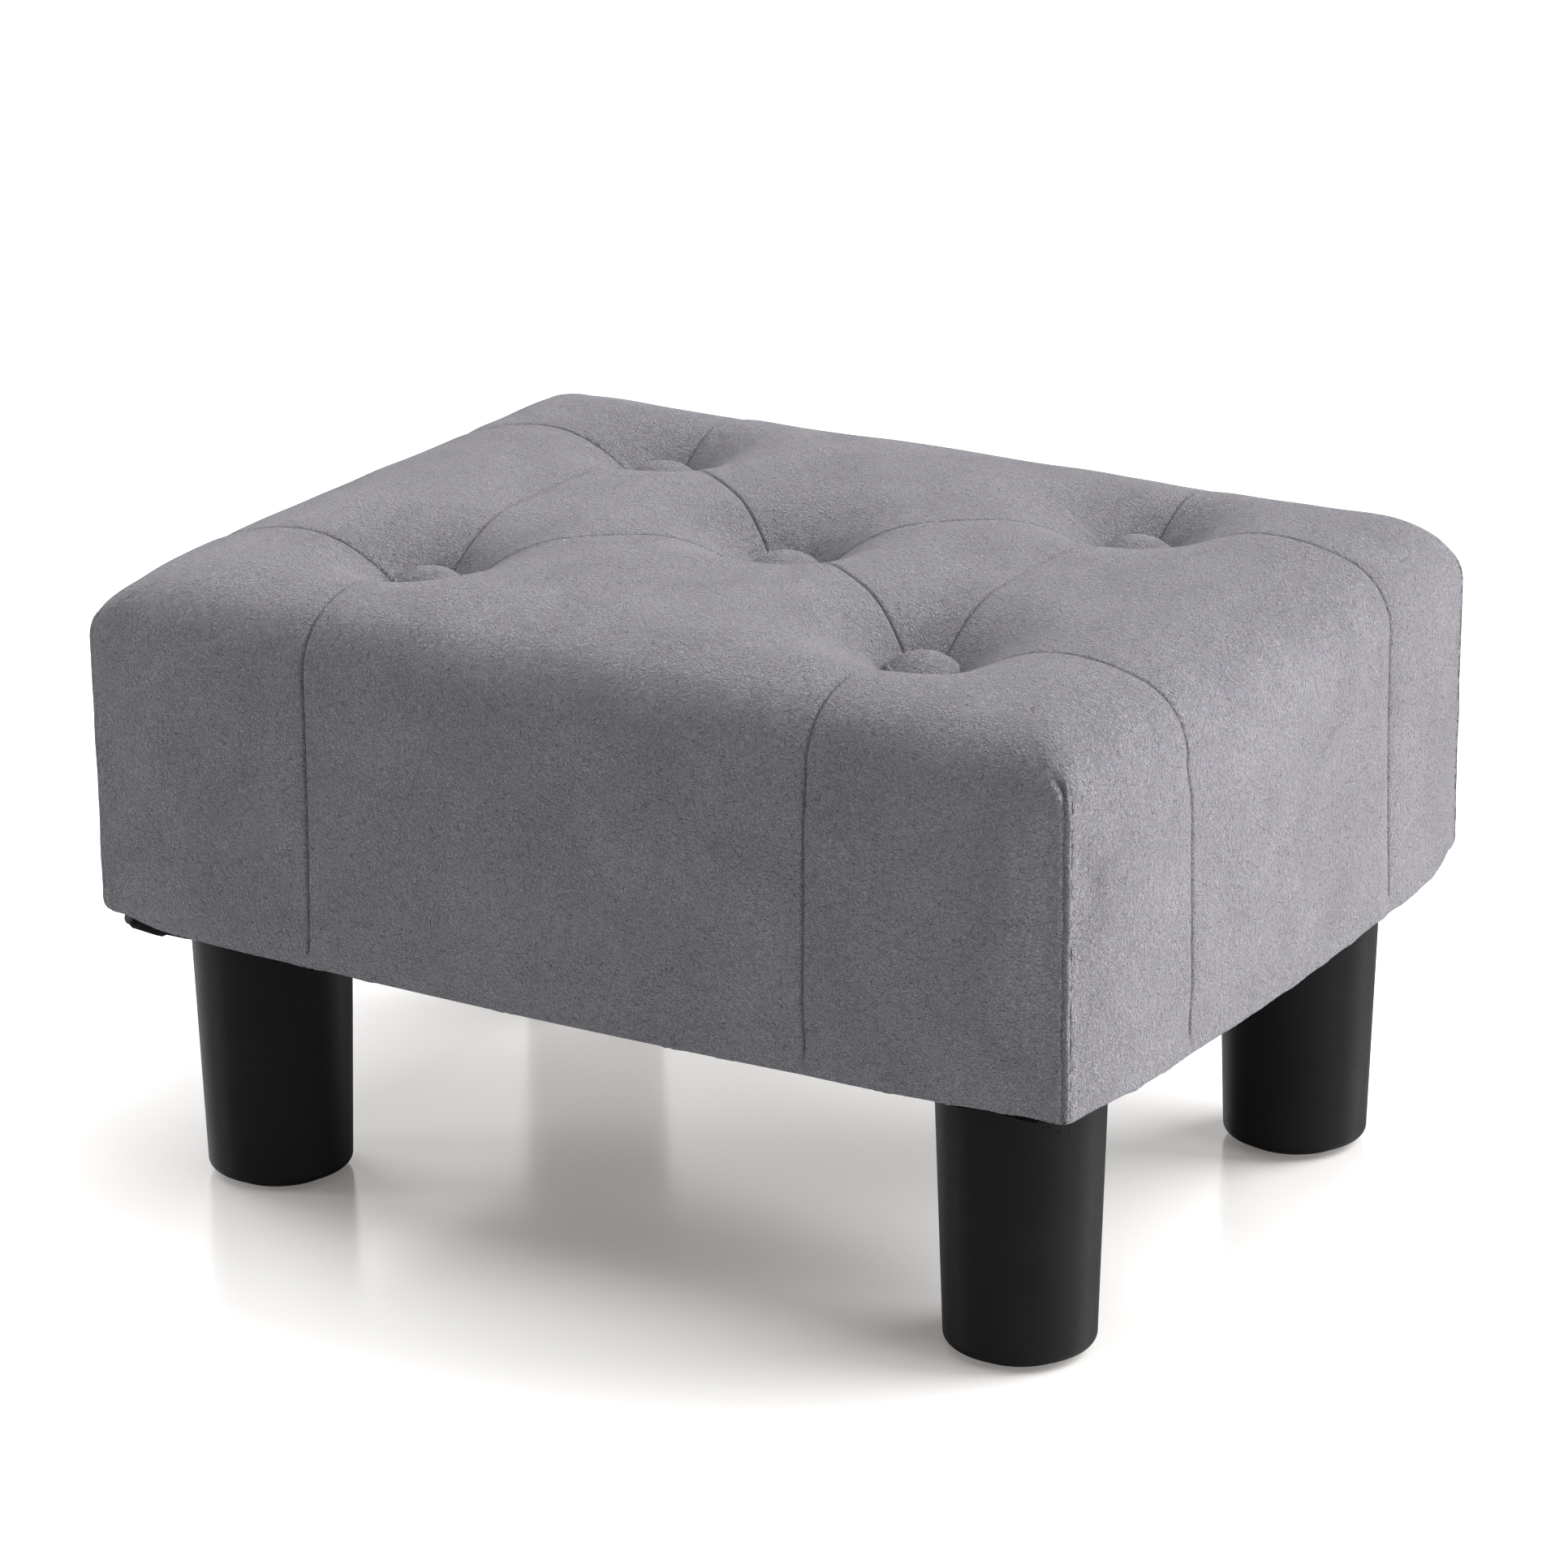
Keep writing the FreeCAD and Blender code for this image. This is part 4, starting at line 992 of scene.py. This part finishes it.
def loose_threads(material):
    """Short black threads hanging at the near corner, where the dust cover's edge is frayed."""
    corner = Vector((SEAT_LENGTH / 2, -SEAT_WIDTH / 2, SEAT_BOTTOM))
    curve = bpy.data.curves.new("corner_threads", "CURVE")
    curve.dimensions = "3D"
    curve.bevel_depth = THREAD_RADIUS
    curve.materials.append(material)
    pick = np.random.default_rng(5)
    for start in THREAD_STARTS:
        lean = pick.uniform(*THREAD_LEAN, 2)
        hang = -2.2 - pick.uniform(0, 1)
        tip = -1.6 - pick.uniform(0, 1.6)
        route = [(start, 1.0, 0.6), (start + lean[0] * 0.5, -1.0, -1.4),
                 (start + lean[0], -0.4, hang), (start + lean[0] + lean[1], 0.2, tip)]
        spline = curve.splines.new("NURBS")
        spline.points.add(len(route) - 1)
        for point, (px, py, pz) in zip(spline.points, route):
            point.co = (corner.x + px * MM, corner.y + py * MM, corner.z + pz * MM, 1)
        spline.order_u = 3
        spline.use_endpoint_u = True
    piece = bpy.data.objects.new("corner_threads", curve)
    bpy.context.scene.collection.objects.link(piece)
    return piece


# Camera, lights and floor

def camera():
    """The photograph's camera."""
    back = Vector((math.sin(CAMERA_AZIMUTH) * math.cos(CAMERA_ELEVATION),
                   -math.cos(CAMERA_AZIMUTH) * math.cos(CAMERA_ELEVATION), math.sin(CAMERA_ELEVATION)))
    right = Vector((0, 0, 1)).cross(back).normalized()
    up = back.cross(right)
    turned_right = right * math.cos(CAMERA_ROLL) + up * math.sin(CAMERA_ROLL)
    turned_up = up * math.cos(CAMERA_ROLL) - right * math.sin(CAMERA_ROLL)
    data = bpy.data.cameras.new("camera")
    data.lens = CAMERA_LENS
    data.clip_end = CAMERA_FAR
    made = bpy.data.objects.new("camera", data)
    matrix = Matrix((turned_right, turned_up, back)).transposed().to_4x4()
    matrix.translation = Vector(CAMERA_PLACE)
    made.matrix_world = matrix
    bpy.context.scene.collection.objects.link(made)
    bpy.context.scene.camera = made


def soft_sun(name, azimuth, elevation, spread, strength):
    """Soft light from far off. Azimuth 0 is in front, 90 on the right."""
    a = math.radians(azimuth)
    e = math.radians(elevation)
    out = Vector((math.sin(a) * math.cos(e), -math.cos(a) * math.cos(e), math.sin(e)))
    data = bpy.data.lights.new(name, "SUN")
    data.angle = math.radians(spread)
    data.energy = strength
    made = bpy.data.objects.new(name, data)
    made.location = out
    made.rotation_mode = "QUATERNION"
    made.rotation_quaternion = out.to_track_quat("Z", "Y")
    bpy.context.scene.collection.objects.link(made)


def soft_lamp(name, place, aim, size, watts):
    """A soft round lamp at a place, turned to a point."""
    data = bpy.data.lights.new(name, "AREA")
    data.shape = "DISK"
    data.size = size
    data.energy = watts
    made = bpy.data.objects.new(name, data)
    made.location = place
    made.rotation_mode = "QUATERNION"
    made.rotation_quaternion = (Vector(place) - Vector(aim)).to_track_quat("Z", "Y")
    bpy.context.scene.collection.objects.link(made)


def surroundings():
    """Soft light all round, and white where the camera or a reflection sees past the floor."""
    world = bpy.data.worlds.new("studio")
    world.use_nodes = True
    bpy.context.scene.world = world
    nodes = world.node_tree.nodes
    links = world.node_tree.links
    nodes.clear()
    path = nodes.new("ShaderNodeLightPath")
    soft = nodes.new("ShaderNodeBackground")
    soft.inputs["Strength"].default_value = AMBIENT
    white = nodes.new("ShaderNodeBackground")
    white.inputs["Strength"].default_value = 1.0
    seen = nodes.new("ShaderNodeMath")
    seen.operation = "MAXIMUM"
    mix = nodes.new("ShaderNodeMixShader")
    out = nodes.new("ShaderNodeOutputWorld")
    links.new(path.outputs["Is Camera Ray"], seen.inputs[0])
    links.new(path.outputs["Is Glossy Ray"], seen.inputs[1])
    links.new(seen.outputs[0], mix.inputs[0])
    links.new(soft.outputs[0], mix.inputs[1])
    links.new(white.outputs[0], mix.inputs[2])
    links.new(mix.outputs[0], out.inputs[0])


def floor():
    """The pale floor, wide enough to fill the view."""
    corners = [(sx * FLOOR_REACH, sy * FLOOR_REACH, 0) for sx, sy in ((-1, -1), (1, -1), (1, 1), (-1, 1))]
    piece = mesh_piece("floor", corners, [(0, 1, 2, 3)], floor_material())


# The whole scene

velvet_material = velvet()
plastic = black_plastic()

cover_piece = seat_cover(velvet_material)
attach(cover_piece, "root")
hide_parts("cover", "foam_pad", "side_wadding")

for number, name in enumerate(BUTTON_NAMES):
    button = button_cover(name, velvet_material, number)
    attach(button, "root")

cloth = woven("black_dust_cloth", shade(0.006, 0.006, 0.006), shade(0.014, 0.014, 0.014),
              thread=0.8 * MM, depth=0.1 * MM)
dust_piece = dust_sheet(cloth)
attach(dust_piece, "root")
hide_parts("dust_cover")

threads = loose_threads(cloth)
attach(threads, "root")

pine = plain_grain("sawn_pine", shade(0.44, 0.27, 0.13), shade(0.62, 0.43, 0.24),
                   roughness=0.6, size=6 * MM, depth=0.2 * MM, stretch=(0.12, 1, 1))
ply = plain_grain("birch_ply", shade(0.50, 0.35, 0.20), shade(0.66, 0.50, 0.32),
                  roughness=0.55, size=7 * MM, depth=0.12 * MM, stretch=(0.15, 1, 1))
zinc = plain_grain("zinc_plate", shade(0.42, 0.43, 0.45), shade(0.60, 0.61, 0.62),
                   roughness=0.3, size=2 * MM, depth=0.03 * MM, metallic=1.0)
rubber = plain_grain("black_rubber", shade(0.012, 0.012, 0.012), shade(0.022, 0.022, 0.022),
                     roughness=0.75, size=1.2 * MM, depth=0.1 * MM)
# Button cores: a grey moulding, its dark tone painted shade in the gap under each button's rim
moulding_painted_shade = plain_grain("grey_moulding", shade(0.11, 0.108, 0.115), shade(0.15, 0.147, 0.155),
                       roughness=0.4, size=5 * MM, depth=0.05 * MM)
waxed = plain_grain("waxed_twine", shade(0.40, 0.34, 0.24), shade(0.58, 0.51, 0.38),
                    roughness=0.6, size=1 * MM, depth=0.2 * MM, stretch=(1, 1, 0.3))

FINISHES = {
    "front_rail": pine, "back_rail": pine, "left_rail": pine, "right_rail": pine,
    "deck_board": ply, "leg_plate": ply, "button_toggle": pine, "frame_screws": zinc,
    "leg_plate_screws": zinc, "deck_screws": zinc, "cover_staples": zinc, "dust_cover_staples": zinc,
    "tee_nut": zinc, "leg_bolt": zinc, "foot_pad": rubber, "button_core": moulding_painted_shade,
    "button_twine": waxed, "leg": plastic,
}
REPLACED = ("cover", "foam_pad", "side_wadding", "dust_cover", "button_cap")


def family(node):
    """A node's name without its place."""
    for place in BUTTON_NAMES:
        node = node.removesuffix("_" + place)
    return node


for node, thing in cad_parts.items():
    if family(node) not in REPLACED:
        thing.data.materials.clear()
        thing.data.materials.append(FINISHES[family(node)])

camera()
surroundings()
soft_sun("key", azimuth=132, elevation=37, spread=44, strength=4.5)
soft_sun("left fill", azimuth=-106, elevation=22, spread=44, strength=2.0)
soft_sun("right fill", azimuth=86, elevation=11, spread=24, strength=0.7)
soft_sun("overhead", azimuth=40, elevation=74, spread=50, strength=0.9)
soft_lamp("front left", place=(-0.95, -0.62, 0.35), aim=(-0.15, -0.15, 0.17), size=0.3, watts=2.9)
soft_lamp("right", place=(0.78, -0.10, 0.2), aim=(0.15, -0.1, 0.17), size=0.3, watts=1.4)
floor()

bpy.context.scene.view_settings.view_transform = "Standard"
